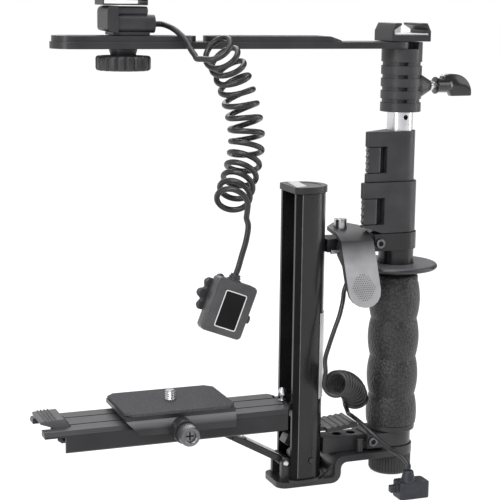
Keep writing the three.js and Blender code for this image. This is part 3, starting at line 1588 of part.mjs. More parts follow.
function cameraPlate() {
  const seat = TRAY.deckTop + FIT.gap;
  const neckTop = PLATE.padTop - PLATE.padThickness - FIT.gap;
  const neckBottom = neckTop - PLATE.neckHeight;
  const jaw = PLATE.jawHalfWidth;
  const inner = TRAY.halfWidth + FIT.gap;
  const bevelBottom = neckBottom - PLATE.jawBevelHeight;
  const half = (side) => [
    [side * PLATE.neckHalfWidth, neckTop],
    [side * PLATE.neckHalfWidth, neckBottom],
    [side * (jaw - PLATE.jawBevelRun), neckBottom],
    [side * jaw, bevelBottom],
    [side * jaw, PLATE.jawBottom],
    [side * inner, PLATE.jawBottom],
    [side * inner, seat],
  ];
  const profile = [...half(1), ...half(-1).reverse()].map(([y, z]) => new THREE.Vector2(y, z));
  const corner = [
    [PLATE.left - FIT.overrun, PLATE.jawBottom - FIT.overrun],
    [PLATE.left - FIT.overrun, bevelBottom + PLATE.jawBevelHeight],
    [PLATE.left, bevelBottom + PLATE.jawBevelHeight],
    [PLATE.left + PLATE.cut, PLATE.jawBottom],
    [PLATE.left + PLATE.cut, PLATE.jawBottom - FIT.overrun],
  ].map(([x, z]) => new THREE.Vector2(x, z));
  const bossCentre = [PLATE_KNOB.x, 0, PLATE_KNOB.height];
  const headTop = neckTop - CAMERA_SCREW.headDepth + CAMERA_SCREW.headHeight;
  const screwCentre = [CAMERA_SCREW.x, 0, 0];
  return cut(
    join(
      extruded(profile, 'right', PLATE.left, PLATE.right),
      rod(PLATE_KNOB.bossRadius, 'front', inner, PLATE_KNOB.bossEnd, bossCentre),
    ),
    extruded(corner, 'front', -jaw - FIT.overrun, jaw + FIT.overrun),
    rod(PLATE_KNOB.shankRadius + FIT.gap, 'front', inner - FIT.overrun, PLATE_KNOB.bossEnd + FIT.overrun,
      bossCentre, SIDES.small),
    rod(CAMERA_SCREW.radius + FIT.gap, 'up', seat - FIT.overrun, neckTop + FIT.overrun,
      screwCentre, SIDES.small),
    rod(CAMERA_SCREW.headRadius + FIT.gap, 'up', seat - FIT.overrun, headTop + FIT.gap, screwCentre),
  );
}

function platePad() {
  const { left, right, padHalfWidth: half, padChamfer: chamfer } = PLATE;
  const plan = [
    [left + chamfer, -half],
    [right - chamfer, -half],
    [right, -half + chamfer],
    [right, half - chamfer],
    [right - chamfer, half],
    [left + chamfer, half],
    [left, half - chamfer],
    [left, -half + chamfer],
  ].map(([x, y]) => new THREE.Vector2(x, y));
  const bottom = PLATE.padTop - PLATE.padThickness;
  return cut(
    extruded(plan, 'up', bottom, PLATE.padTop),
    rod(CAMERA_SCREW.radius + FIT.gap, 'up', bottom - FIT.overrun, PLATE.padTop + FIT.overrun,
      [CAMERA_SCREW.x, 0, 0], SIDES.small),
  );
}

function cameraScrew() {
  const neckTop = PLATE.padTop - PLATE.padThickness - FIT.gap;
  const headBottom = neckTop - CAMERA_SCREW.headDepth;
  const headTop = headBottom + CAMERA_SCREW.headHeight;
  const end = PLATE.padTop + CAMERA_SCREW.proud;
  return turned([
    [0, headBottom],
    [CAMERA_SCREW.headRadius, headBottom],
    [CAMERA_SCREW.headRadius, headTop],
    [CAMERA_SCREW.radius, headTop],
    [CAMERA_SCREW.radius, end - FIT.skin],
    [CAMERA_SCREW.radius - FIT.skin, end],
    [0, end],
  ], 'up', [CAMERA_SCREW.x, 0, 0], 20);
}

function plateKnob() {
  const start = PLATE_KNOB.bossEnd + FIT.gap;
  return turned([
    [0, TRAY.halfWidth + FIT.gap],
    [PLATE_KNOB.shankRadius, TRAY.halfWidth + FIT.gap],
    [PLATE_KNOB.shankRadius, start],
    [PLATE_KNOB.radius, start],
    [PLATE_KNOB.radius, PLATE_KNOB.end - PLATE_KNOB.edge],
    [PLATE_KNOB.radius - PLATE_KNOB.edge, PLATE_KNOB.end],
    [PLATE_KNOB.recessRadius, PLATE_KNOB.end],
    [PLATE_KNOB.recessRadius, PLATE_KNOB.end - PLATE_KNOB.recessDepth],
    [0, PLATE_KNOB.end - PLATE_KNOB.recessDepth],
  ], 'front', [PLATE_KNOB.x, 0, PLATE_KNOB.height], 24);
}

// Trigger

function triggerLever() {
  const { left, right, sideWall } = HOOD;
  const line = HOOD_LINE.map(([y, rise]) => [y, level.triggerPin + rise]);
  const sheet = extruded(sheetOutline(line, HOOD.thickness), 'right', left, right);
  const flank = HOOD_FLANK.map(([y, rise]) => new THREE.Vector2(y, level.triggerPin + rise));
  const sides = [[left, left + sideWall], [right - sideWall, right]].map(([from, to]) =>
    extruded(flank, 'right', from, to));
  const [back] = line;
  const tip = line.at(-1);
  const front = outline([
    [left, tip[1], HOOD.endRadius],
    [right, tip[1], HOOD.endRadius],
    [right, back[1] + FIT.overrun],
    [left, back[1] + FIT.overrun],
  ]);
  const plan = [
    [left, tip[0] * 2],
    [right, tip[0] * 2],
    [right, back[0] - HOOD.chamfer],
    [right - HOOD.chamfer, back[0]],
    [left + HOOD.chamfer, back[0]],
    [left, back[0] - HOOD.chamfer],
  ].map(([x, y]) => new THREE.Vector2(x, y));
  const shape = join(sheet, ...sides)
    .intersect(extruded(front, 'front', -back[0] - FIT.overrun, -tip[0] * 2))
    .intersect(extruded(plan, 'up', tip[1] - FIT.overrun, back[1] + FIT.overrun));
  return cut(
    shape,
    rod(TRIGGER_SCREW.radius + FIT.gap, 'up', level.triggerPin + TRIGGER_SCREW.bottom, back[1] + FIT.overrun,
      [TRIGGER_SCREW.x, TRIGGER_SCREW.y, 0], SIDES.small),
    rod(TRIGGER_PIN.radius + FIT.gap, 'right', left - FIT.overrun, right + FIT.overrun,
      [0, TRIGGER_PIN.y, level.triggerPin], SIDES.small),
  );
}

function triggerScrew() {
  const { x, y, radius } = TRIGGER_SCREW;
  const top = level.triggerPin + TRIGGER_SCREW.top;
  const bottom = level.triggerPin + TRIGGER_SCREW.bottom;
  const slot = box(
    [x - TRIGGER_SCREW.slotWidth / 2, x + TRIGGER_SCREW.slotWidth / 2],
    [y - radius - FIT.overrun, y + radius + FIT.overrun],
    [top - TRIGGER_SCREW.slotDepth, top + FIT.overrun],
  );
  return cut(rod(radius, 'up', bottom, top, [x, y, 0], SIDES.small), slot);
}

function triggerPin() {
  return rod(TRIGGER_PIN.radius, 'right', TRIGGER_PIN.left, HOOD.right + FIT.skin,
    [0, TRIGGER_PIN.y, level.triggerPin], SIDES.small);
}

function releaseSocket() {
  const back = BRACE.upperFront - FIT.gap;
  const bottom = level.triggerPin + SOCKET.bottom;
  const block = box([SOCKET.left, SOCKET.right], [SOCKET.front, back],
    [bottom, level.triggerPin + SOCKET.top]);
  const neck = rod(SOCKET.neckRadius, 'up', bottom - SOCKET.neckDrop, bottom + FIT.skin,
    [SOCKET.neckX, SOCKET.neckY, 0], SIDES.small);
  return cut(
    join(block, neck),
    rod(TRIGGER_PIN.radius + FIT.gap, 'right', SOCKET.left - FIT.overrun, SOCKET.right + FIT.overrun,
      [0, TRIGGER_PIN.y, level.triggerPin], SIDES.small),
  );
}

// Cord pieces

/** Places given from the arm's underside, at their real height. */
const hung = (points) => points.map(([x, y, rise]) => [x, y, level.arm + rise]);

function blockGroup() {
  const { halfWidth, halfHeight, halfDepth } = BLOCK;
  const body = extruded(outline([
    [-halfWidth, -halfHeight, BLOCK.round],
    [halfWidth, -halfHeight, BLOCK.round],
    [halfWidth, halfHeight, BLOCK.round],
    [-halfWidth, halfHeight, BLOCK.round],
  ]), 'front', -halfDepth, halfDepth);
  const frame = box(
    [-halfWidth + BLOCK.frameInset, halfWidth - BLOCK.frameInset],
    [-halfDepth - FIT.overrun, -halfDepth + BLOCK.frameDepth],
    [-halfHeight + BLOCK.frameInset, halfHeight - BLOCK.frameInset],
  );
  const neck = rod(BLOCK.neckRadius, 'up', halfHeight - FIT.skin, halfHeight + BLOCK.neckHeight,
    [BLOCK.neckX, 0, 0], SIDES.small);
  const wheelFront = -halfDepth - FIT.gap;
  const wheelBack = wheelFront - WHEEL.thickness;
  const footFront = wheelBack - FIT.gap;
  const stalk = rod(BLOCK.stalkRadius, 'front', footFront - FIT.skin, -halfDepth + FIT.skin,
    [WHEEL.x, 0, WHEEL.z], SIDES.small);
  const foot = box(
    [WHEEL.x - BLOCK.footHalfWidth, WHEEL.x + BLOCK.footHalfWidth],
    [-footFront, -footFront + BLOCK.footThickness],
    [WHEEL.z - BLOCK.footHalfWidth, WHEEL.z + BLOCK.footHalfWidth],
  );
  const wheelEdge = lobedOutline(WHEEL.radius, WHEEL.lobeDepth, WHEEL.lobes, 6, [WHEEL.x, WHEEL.z]);
  const wheel = cut(
    extruded(wheelEdge, 'front', wheelBack, wheelFront),
    rod(BLOCK.stalkRadius + FIT.gap, 'front', wheelBack - FIT.overrun, wheelFront + FIT.overrun,
      [WHEEL.x, 0, WHEEL.z], SIDES.small),
  );
  const group = new THREE.Group();
  group.position.set(...hung([BLOCK.centre])[0]);
  group.rotation.y = BLOCK.tilt;
  group.add(
    part('ttl_block', join(cut(body, frame), neck, stalk, foot), 0x3a3a3c, 0.5),
    part('block_wheel', wheel, 0x2a2a2c, 0.5),
  );
  return group;
}

/** Where the cord meets the tilted block's neck, and which way it then runs. */
function blockEntry() {
  const height = BLOCK.halfHeight + BLOCK.neckHeight + FIT.gap;
  const turn = new THREE.Matrix4().makeRotationY(BLOCK.tilt);
  const [centre] = toVectors(hung([BLOCK.centre]));
  const at = (rise) => new THREE.Vector3(BLOCK.neckX, 0, rise).applyMatrix4(turn).add(centre);
  return [at(height), at(height + 2 * FLASH_CORD.radius)];
}

function flashCord() {
  const steer = new THREE.Vector3(1, 0, 0);
  const axis = hung(FLASH_AXIS);
  const curls = withStraightEnds(helixPoints(axis, FLASH_CORD, steer, SIDES.curlSteps), FLASH_CORD.radius);
  reportLeastGap('Flash cord coil', axis, FLASH_CORD, steer);
  const start = [...curls].reverse();
  const run = 2 * FLASH_CORD.radius;
  const exit = new THREE.Vector3(GLAND.end + FIT.gap, 0, level.head + GLAND.rise);
  const upper = [
    exit,
    exit.clone().add(new THREE.Vector3(run, 0, 0)),
    ...toVectors(hung(FLASH_LEAD_UPPER)),
    beyond(start, FIT.gap + run),
    beyond(start, FIT.gap),
  ];
  const [entry, approach] = blockEntry();
  const lower = [
    beyond(curls, FIT.gap),
    beyond(curls, FIT.gap + run),
    ...toVectors(hung(FLASH_LEAD_LOWER)),
    approach,
    entry,
  ];
  return [
    part('ttl_lead_upper', strand(upper, FLASH_CORD.radius), 0x1a1a1c, 0.55),
    part('ttl_coil', tubeThrough(curls, FLASH_CORD.radius, SIDES.curl), 0x1a1a1c, 0.55),
    part('ttl_lead_lower', strand(lower, FLASH_CORD.radius), 0x1a1a1c, 0.55),
  ];
}

function releaseCord() {
  const steer = new THREE.Vector3(0, 0, 1);
  const turns = helixPoints(RELEASE_AXIS, RELEASE_CORD, steer, SIDES.curlSteps);
  const curls = withStraightEnds(turns, RELEASE_CORD.radius);
  reportLeastGap('Release cord coil', RELEASE_AXIS, RELEASE_CORD, steer);
  const start = [...curls].reverse();
  const run = 2 * RELEASE_CORD.radius;
  const exitHeight = level.triggerPin + SOCKET.bottom - SOCKET.neckDrop - FIT.gap;
  const exit = new THREE.Vector3(SOCKET.neckX, SOCKET.neckY, exitHeight);
  const arrival = beyond(start, FIT.gap + run);
  const lead = [
    exit,
    exit.clone().add(new THREE.Vector3(0, 0, -run)),
    ...RELEASE_LEAD.map(([x, y], i) =>
      new THREE.Vector3(x, y, THREE.MathUtils.lerp(arrival.z, exit.z, RELEASE_LEAD_SHARES[i]))),
    arrival,
    beyond(start, FIT.gap),
  ];
  const plugTop = RELEASE_PLUG.height + RELEASE_PLUG.neckHeight + FIT.gap;
  const entry = new THREE.Vector3(RELEASE_PLUG.x, RELEASE_PLUG.y, plugTop);
  const tail = [
    beyond(curls, FIT.gap),
    beyond(curls, FIT.gap + run),
    ...toVectors(RELEASE_TAIL),
    entry.clone().add(new THREE.Vector3(0, 0, run)),
    entry,
  ];
  return [
    part('release_lead', strand(lead, RELEASE_CORD.radius), 0x1c1c1e, 0.55),
    part('release_coil', tubeThrough(curls, RELEASE_CORD.radius, SIDES.curl), 0x1c1c1e, 0.55),
    part('release_tail', strand(tail, RELEASE_CORD.radius), 0x1c1c1e, 0.55),
  ];
}

function releasePlug() {
  const { left, right, height, halfDepth, x, y } = RELEASE_PLUG;
  const body = extruded(outline([
    [left, y - halfDepth, RELEASE_PLUG.round],
    [right, y - halfDepth, RELEASE_PLUG.round],
    [right, y + halfDepth, RELEASE_PLUG.round],
    [left, y + halfDepth, RELEASE_PLUG.round],
  ]), 'up', 0, height);
  const neck = turned([
    [0, height - FIT.skin],
    [RELEASE_PLUG.neckRadius, height - FIT.skin],
    [RELEASE_PLUG.neckTopRadius, height + RELEASE_PLUG.neckHeight],
    [0, height + RELEASE_PLUG.neckHeight],
  ], 'up', [x, y, 0], SIDES.small);
  const tip = box(
    [RELEASE_PLUG.tipLeft, left + FIT.skin],
    [y - RELEASE_PLUG.tipHalfDepth, y + RELEASE_PLUG.tipHalfDepth],
    [RELEASE_PLUG.tipBottom, RELEASE_PLUG.tipBottom + RELEASE_PLUG.tipHeight],
  );
  return join(body, neck, tip);
}

// Assembly

const bracket = new THREE.Group();
bracket.name = 'camera_flash_bracket';

const base = new THREE.Group();
base.add(
  part('base_casting', baseCasting(), 0x2c2c2e, 0.45, 0.3),
  part('base_knob', baseKnob(), 0x303032, 0.6),
  part('lower_brace', lowerBrace(), 0x303032, 0.5, 0.3),
  part('lower_brace_screw', socketScrew(
    SCREW_AT.lowerX, BRACE.earHalfDepth, level.lowerBrace + SCREW_AT.lowerRise), 0x3a3a3c, 0.3, 0.8),
  part('upper_brace', upperBrace(), 0x303032, 0.5, 0.3),
  part('upper_brace_screw', socketScrew(
    SCREW_AT.upperX, BRACE.earHalfDepth, level.upperBrace + SCREW_AT.upperRise), 0x4a4a4c, 0.3, 0.8),
  part('post', post(), 0x2a2a2c, 0.4, 0.5),
  part('post_cap', postCap(), 0x262628, 0.5),
  part('post_screw', postScrew(), 0x2a2a2c, 0.4, 0.6),
  part('post_label', postLabel(), 0xd6d6d4, 0.5),
  part('fold_latch', foldLatch(), 0x8a8a8c, 0.4, 0.7),
  part('latch_roller', rod(ROLLER.radius, 'front', -ROLLER.halfWidth, ROLLER.halfWidth,
    [ROLLER.x, 0, BASE.thickness + BASE.pedestalHeight + FIT.gap + ROLLER.radius], SIDES.small),
    0xb8b8ba, 0.4, 0.6),
  part('fold_lever', foldLever(), 0x4a4a4c, 0.5),
  part('ear_bolt', earBolt(), 0xdadadc, 0.15, 1),
  part('hinge_bracket', hingeBracket(), 0x242426, 0.5, 0.5),
);

const column = new THREE.Group();
column.add(
  part('foot_plug', footPlug(), 0x6a6a6c, 0.4, 0.8),
  part('column_tube', columnTube(), 0x262628, 0.4, 0.5),
  part('grip_ring', gripRing(), 0x303032, 0.6),
  part('grip_sleeve', gripSleeve(), 0x343436, 0.85),
  part('hand_guard', handGuard(), 0x3a3a3c, 0.6),
  part('clamp_lower_body', lowerClampBody(), 0x3c3c3e, 0.5),
  part('clamp_lower_lever', clampLever(CLAMP.lower, level.lowerClamp), 0x303032, 0.45),
  part('mid_tube', middleTube(), 0x2a2a2c, 0.4, 0.5),
  part('clamp_upper_body', clampBody(CLAMP.upper, level.upperClamp, TUBE.studRadius), 0x3c3c3e, 0.5),
  part('clamp_upper_lever', clampLever(CLAMP.upper, level.upperClamp), 0x303032, 0.45),
  part('stud_tube', studTube(), 0xd0d0d2, 0.25, 1),
);

const tray = new THREE.Group();
tray.add(
  part('tray_rail', trayRail(), 0x6a6a6c, 0.4, 0.5),
  part('end_lever', endLever(), 0x5a5a5c, 0.5),
  part('end_pin', endPin(), 0x2a2a2c, 0.4, 0.4),
  part('lock_plunger', lockPlunger(), 0xe0e0e2, 0.1, 1),
  part('camera_plate', cameraPlate(), 0x4a4a4c, 0.4, 0.5),
  part('plate_pad', platePad(), 0x505052, 0.9),
  part('camera_screw', cameraScrew(), 0xdcdcde, 0.2, 1),
  part('plate_knob', plateKnob(), 0xb0b0b2, 0.25, 1),
);

const trigger = new THREE.Group();
trigger.add(
  part('trigger_lever', triggerLever(), 0x7c7c7e, 0.5),
  part('trigger_screw', triggerScrew(), 0x4a4a4c, 0.3, 0.8),
  part('trigger_pin', triggerPin(), 0xb8b8ba, 0.3, 0.9),
  part('release_socket', releaseSocket(), 0x222224, 0.5),
  part('release_plug', releasePlug(), 0x2a2d33, 0.5),
  ...releaseCord(),
);

const arm = new THREE.Group();
arm.add(
  part('receiver', receiver(), 0x3a3a3c, 0.7),
  part('wing_knob', wingKnob(), 0x222224, 0.25),
  part('flash_arm', flashArm(), 0x4a4a4c, 0.45, 0.4),
  part('arm_bolt', armBolt(), 0xb0b0b2, 0.3, 1),
  part('cold_shoe', coldShoe(), 0x404042, 0.5, 0.4),
  part('shoe_spring', shoeSpring(), 0xe8e8e8, 0.3, 0.6),
  part('head_body', headBody(), 0x3c3c3e, 0.5),
  part('head_rails', headRails(), 0xd0d0d2, 0.3, 0.8),
  part('head_gland', headGland(), 0x242426, 0.5),
  part('head_knob', headKnob(), 0x38383a, 0.5),
  blockGroup(),
  ...flashCord(),
);

bracket.add(base, column, tray, strutGroup(), trigger, arm);

export default bracket;
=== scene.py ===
import json
import logging
from dataclasses import dataclass, field
from enum import Enum
from typing import Callable

import bmesh
import bpy
import numpy as np
from mathutils import Matrix, Vector


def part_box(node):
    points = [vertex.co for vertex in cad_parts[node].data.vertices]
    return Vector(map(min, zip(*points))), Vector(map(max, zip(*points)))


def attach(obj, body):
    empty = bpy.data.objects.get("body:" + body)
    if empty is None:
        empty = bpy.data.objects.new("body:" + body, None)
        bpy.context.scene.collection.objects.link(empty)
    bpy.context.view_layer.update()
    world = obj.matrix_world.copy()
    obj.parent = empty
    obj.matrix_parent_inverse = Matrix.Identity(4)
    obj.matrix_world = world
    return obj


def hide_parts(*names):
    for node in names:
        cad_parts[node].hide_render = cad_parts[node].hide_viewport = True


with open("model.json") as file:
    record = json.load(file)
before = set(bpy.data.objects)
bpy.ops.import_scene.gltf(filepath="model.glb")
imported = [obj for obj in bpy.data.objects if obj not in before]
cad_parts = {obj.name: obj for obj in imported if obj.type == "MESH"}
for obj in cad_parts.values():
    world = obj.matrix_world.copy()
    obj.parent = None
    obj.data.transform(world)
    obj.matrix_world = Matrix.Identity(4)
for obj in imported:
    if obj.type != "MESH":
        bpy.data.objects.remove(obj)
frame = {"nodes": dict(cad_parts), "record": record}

Pair = tuple[float, float]
Point = tuple[float, float, float]
Array = np.ndarray
Object = bpy.types.Object
Place = Callable[..., Array]
Socket = bpy.types.NodeSocket
Tree = bpy.types.NodeTree

MM = 0.001
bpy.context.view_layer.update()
NODE_BODY = {node: body for body, nodes in frame["record"]["behaviour"]["bodies"].items() for node in nodes}
log = logging.getLogger("bracket")


# Colour and node helpers


def linear(colour: int) -> tuple[float, ...]:
    """Turns an sRGB hex colour into linear RGBA."""
    parts = [((colour >> shift) & 255) / 255 for shift in (16, 8, 0)]
    return (*[part / 12.92 if part <= 0.04045 else ((part + 0.055) / 1.055) ** 2.4 for part in parts], 1.0)


def add_node(tree: Tree, kind: str, settings: dict | None = None, links: dict | None = None) -> bpy.types.Node:
    """Adds a node of a Blender type.

    settings maps property names, or input names or numbers, to values, and links maps inputs to output sockets.
    """
    node = tree.nodes.new(kind)
    for key, value in (settings or {}).items():
        if isinstance(key, str) and hasattr(node, key):
            setattr(node, key, value)
        else:
            node.inputs[key].default_value = value
    for key, source in (links or {}).items():
        tree.links.new(source, node.inputs[key])
    return node


def noise(tree: Tree, place: Socket, size_mm: float, detail: float = 3.0, roughness: float = 0.5) -> Socket:
    """Adds noise of a size in millimetres and returns its height."""
    settings = {"Scale": 1 / (size_mm * MM), "Detail": detail, "Roughness": roughness}
    return add_node(tree, "ShaderNodeTexNoise", settings, {"Vector": place}).outputs["Fac"]


def ranged(tree: Tree, source: Socket, ends: Pair, to: Pair = (0.0, 1.0)) -> Socket:
    """Maps what lies between two ends onto two other values, held there beyond the ends."""
    settings = {"From Min": ends[0], "From Max": ends[1], "To Min": to[0], "To Max": to[1]}
    return add_node(tree, "ShaderNodeMapRange", settings, {"Value": source}).outputs["Result"]


def mixed(tree: Tree, share: Socket, first: int | Socket, second: int) -> Socket:
    """Mixes two colours by a share: the first is an sRGB hex number or a socket, the second a number."""
    settings, links = {"data_type": "RGBA", 7: linear(second)}, {0: share}
    if isinstance(first, int):
        settings[6] = linear(first)
    else:
        links[6] = first
    return add_node(tree, "ShaderNodeMix", settings, links).outputs[2]


# Finishes

# The parts of each noise that a second tone, a pebble's rim and a scuff spread over; on the grip the pebble's darker
# rim and lighter middle are painted shade and highlight
PATCH_RANGE = (0.35, 0.65)
PEBBLE_RANGE = (0.15, 0.62)
SCUFF_RANGE = (0.64, 0.78)
SCUFF_MM = 2.2
# How far a face looks up when its upper colour, a painted top light, starts and is full
UPWARD_RANGE = (0.6, 0.9)
# How far the gloss wanders below and above its value, and the roughness of a clear coat
GLOSS_BELOW, GLOSS_ABOVE = 0.06, 0.08
COAT_ROUGHNESS = 0.12
# A drawn surface has its grain stretched this many times along the draw
DRAW = 60


class Texture(Enum):
    """How a surface was made, which decides the pattern of its bumps."""

    MOULDED = (1, 1, 1)
    PEBBLED = "pebbled"
    DRAWN_X = (1 / DRAW, 1, 1)
    DRAWN_Y = (1, 1 / DRAW, 1)
    DRAWN_Z = (1, 1, 1 / DRAW)


@dataclass(frozen=True)
class Finish:
    """A real material with its colours, gloss and the sizes of its patterns.

    The colour wanders between two tones over patches of mottle_mm, or from a pebble's middle to its rim, with rare
    scuffs of a third; on the grip the lighter middle and darker rim are a painted highlight and painted shade. Bumps
    of grain_mm stand depth_mm high. Faces that look up take the upper colour where there is one, or it comes in
    between the two heights of fade_mm: painted light on tops and on the jaw, and painted shade on the trigger's top.
    """

    name: str
    colour: int
    second: int
    roughness: float
    metallic: float = 0.0
    texture: Texture = Texture.MOULDED
    grain_mm: float = 0.45
    depth_mm: float = 0.02
    mottle_mm: float = 16
    coat: float = 0.0
    scuff: int | None = None
    specular: float = 0.4
    upper: int | None = None
    fade_mm: Pair | None = None

    def build(self) -> bpy.types.Material:
        """Makes the material, or finds it if it is already made."""
        if self.name in bpy.data.materials:
            return bpy.data.materials[self.name]
        material = bpy.data.materials.new(self.name)
        material.use_nodes = True
        tree = material.node_tree
        place = add_node(tree, "ShaderNodeTexCoord").outputs["Object"]
        patches = noise(tree, place, self.mottle_mm)
        grain = self.grain(tree, place)
        pebbled = self.texture is Texture.PEBBLED
        # For pebbled finishes the tone follows each pebble: painted highlight and shade on the grip, the cork's own
        # tone on the pad
        share = ranged(tree, grain, PEBBLE_RANGE) if pebbled else ranged(tree, patches, PATCH_RANGE)
        colour = mixed(tree, share, self.colour, self.second)
        if self.scuff is not None:
            marks = noise(tree, place, SCUFF_MM, 6.0, 0.75)
            colour = mixed(tree, ranged(tree, marks, SCUFF_RANGE), colour, self.scuff)
        # The upper colour is painted light on upward faces and on the jaw's band of height, and painted shade on the
        # trigger's top
        if self.upper is not None:
            source = place if self.fade_mm else add_node(tree, "ShaderNodeTexCoord").outputs["Normal"]
            rise = add_node(tree, "ShaderNodeSeparateXYZ", None, {0: source}).outputs["Z"]
            ends = tuple(height * MM for height in self.fade_mm) if self.fade_mm else UPWARD_RANGE
            colour = mixed(tree, ranged(tree, rise, ends), colour, self.upper)
        gloss = (max(self.roughness - GLOSS_BELOW, 0.02), min(self.roughness + GLOSS_ABOVE, 1.0))
        bump = add_node(tree, "ShaderNodeBump", {"Distance": self.depth_mm * MM}, {"Height": grain})
        inputs = tree.nodes["Principled BSDF"].inputs
        for name, value in (("Metallic", self.metallic), ("Specular IOR Level", self.specular),
                            ("Coat Weight", self.coat), ("Coat Roughness", COAT_ROUGHNESS)):
            inputs[name].default_value = value
        for name, source in (("Base Color", colour), ("Roughness", ranged(tree, patches, (0.0, 1.0), gloss)),
                             ("Normal", bump.outputs["Normal"])):
            tree.links.new(source, inputs[name])
        return material

    def grain(self, tree: Tree, place: Socket) -> Socket:
        """Adds the pattern that the bumps follow, from a place in metres, and returns their height."""
        if self.texture is Texture.PEBBLED:
            settings = {"feature": "SMOOTH_F1", "Scale": 1 / (self.grain_mm * MM), "Smoothness": 0.6}
            return add_node(tree, "ShaderNodeTexVoronoi", settings, {"Vector": place}).outputs["Distance"]
        drawn = add_node(tree, "ShaderNodeMapping", {"Scale": self.texture.value}, {"Vector": place})
        return noise(tree, drawn.outputs["Vector"], self.grain_mm)


# Stove enamel on the cast base and bars: fine orange peel, soft gloss, chips that show grey metal
ENAMEL = Finish("stove_enamel_black", 0x29292B, 0x333335, 0.3, grain_mm=0.7, mottle_mm=20, coat=0.1, scuff=0x3A3A3C,
                specular=0.35)
# Black anodised aluminium extrusion: fine lines along the draw under a satin sheen
ANODISED_BLACK = Finish("anodised_aluminium_black", 0x161618, 0x232325, 0.26, 0.2, Texture.DRAWN_Z, 0.35, 0.008, 40,
                        specular=0.45)
# Anodised aluminium tray: near black on the sides and in the grooves, with its upward deck faces painted grey as
# painted top light
ANODISED_TRAY = Finish("anodised_aluminium_painted_lit_deck", 0x202022, 0x2A2A2C, 0.36, 0.2, Texture.DRAWN_X, 0.35, 0.01, 30,
                       upper=0x4C4C4E)
# The plate's clamping jaw: the upper half of its front is painted pale as a painted highlight
PLATE_JAW = Finish("plate_jaw_painted_highlight", 0x2E2E30, 0x38383A, 0.3, 0.3, Texture.DRAWN_X, 0.35, 0.01, 26,
                   upper=0x7C7C7E, fade_mm=(49.6, 53.8))
# Natural nylon of the small roller
NYLON_PALE = Finish("natural_nylon", 0xB4B4B2, 0xC4C4C2, 0.4, grain_mm=0.5, depth_mm=0.01, mottle_mm=6)
# Dark anodised aluminium of the plate, arm and shoe, with its upward faces painted lighter as painted top light
ANODISED_DARK = Finish("anodised_aluminium_dark", 0x2A2A2C, 0x343436, 0.32, 0.2, Texture.DRAWN_X, 0.35, 0.01, 26,
                       upper=0x3C3C3E)
# Moulded ABS with a spark-eroded skin: matte, with a fine even grain
ABS_BLACK = Finish("moulded_abs_black", 0x2B2B2D, 0x363638, 0.38, depth_mm=0.03, scuff=0x404042, specular=0.35)
# Black plastic of the post cap, with its upward faces painted lighter as painted top light
CAP_ABS = Finish("cap_abs_black", 0x242426, 0x2C2C2E, 0.4, specular=0.35, upper=0x4C4C4E)
ABS_GREY = Finish("moulded_abs_grey", 0x4A4A4C, 0x58585A, 0.46, depth_mm=0.03, mottle_mm=14)
ABS_GLOSS = Finish("polished_abs_black", 0x121214, 0x1A1A1C, 0.14, grain_mm=2.5, depth_mm=0.006, mottle_mm=20, coat=0.5)
# Bare panel of the camera block: smooth and near black, so that its pale frame stands out
PANEL_GLOSS = Finish("panel_printed_black", 0x0C0C0E, 0x121214, 0.5, grain_mm=2, depth_mm=0.004, mottle_mm=12,
                     specular=0.15)
# The camera block's case: the same plastic, painted lighter all over as a painted highlight for its sheen
ABS_CASE = Finish("case_abs_painted_highlight", 0x3A3A3C, 0x464648, 0.32, mottle_mm=14, coat=0.1, scuff=0x4A4A4C)
# The hand guard: dark at its hub and rim, with its flat top painted lighter as a painted highlight
GUARD_ABS = Finish("guard_abs_black", 0x222224, 0x2C2C2E, 0.32, mottle_mm=14, coat=0.1, upper=0x58585A)
# Trigger hood: one plastic, its slope painted grey as painted light and its flat top near black as painted shade
ABS_SATIN = Finish("trigger_abs_painted_light_shade", 0x88888A, 0x9C9C9E, 0.34, upper=0x1E1E20, fade_mm=(138, 152))
# Soft grip rubber: a leather-like pebble, each with a lighter middle and darker rim as painted highlight and shade
GRIP_RUBBER = Finish("pebbled_grip_rubber", 0x343436, 0x161618, 0.42, 0.0, Texture.PEBBLED, 1.35, 0.45, 9,
                     specular=0.5)
# Cork and rubber composite on the camera plate
PAD_RUBBER = Finish("cork_rubber_pad", 0x363638, 0x4C4C4E, 0.85, 0.0, Texture.PEBBLED, 0.8, 0.12, 1.6, specular=0.3)
# Cord jacket and plug: soft vinyl with a dull gloss
CORD_VINYL = Finish("cord_vinyl", 0x1C1C1E, 0x262628, 0.34, grain_mm=0.8, mottle_mm=9, coat=0.1)
PLUG_VINYL = Finish("moulded_vinyl_blue_grey", 0x22252B, 0x2C2F36, 0.42, grain_mm=0.5, mottle_mm=8)
# Nickel and chrome plating, turned or stamped steel
CHROME = Finish("chrome_plate", 0xDCDCDE, 0xCCCCD0, 0.27, 1.0, Texture.DRAWN_Z, 0.4, 0.003, 12)
NICKEL = Finish("nickel_plate", 0xBEBEC0, 0xAAAAAE, 0.28, 1.0, Texture.DRAWN_Y, 0.4, 0.006, 6)
# Leaf and floor of the shoe: a pale satin plate that stays bright from the side
SATIN_NICKEL = Finish("satin_nickel", 0xDCDCDE, 0xCCCCCE, 0.42, 0.3, Texture.DRAWN_Y, 0.4, 0.006, 6)
# Plating worn to a mid grey on the plate's side knob, the latch and the braces' screws
WORN_NICKEL = Finish("worn_nickel", 0x68686A, 0x7A7A7C, 0.34, 0.85, Texture.DRAWN_Y, 0.4, 0.01, 5)
BLACK_OXIDE = Finish("black_oxide_steel", 0x2C2C2E, 0x3C3C3E, 0.32, 0.6, grain_mm=0.4, depth_mm=0.01, mottle_mm=6)
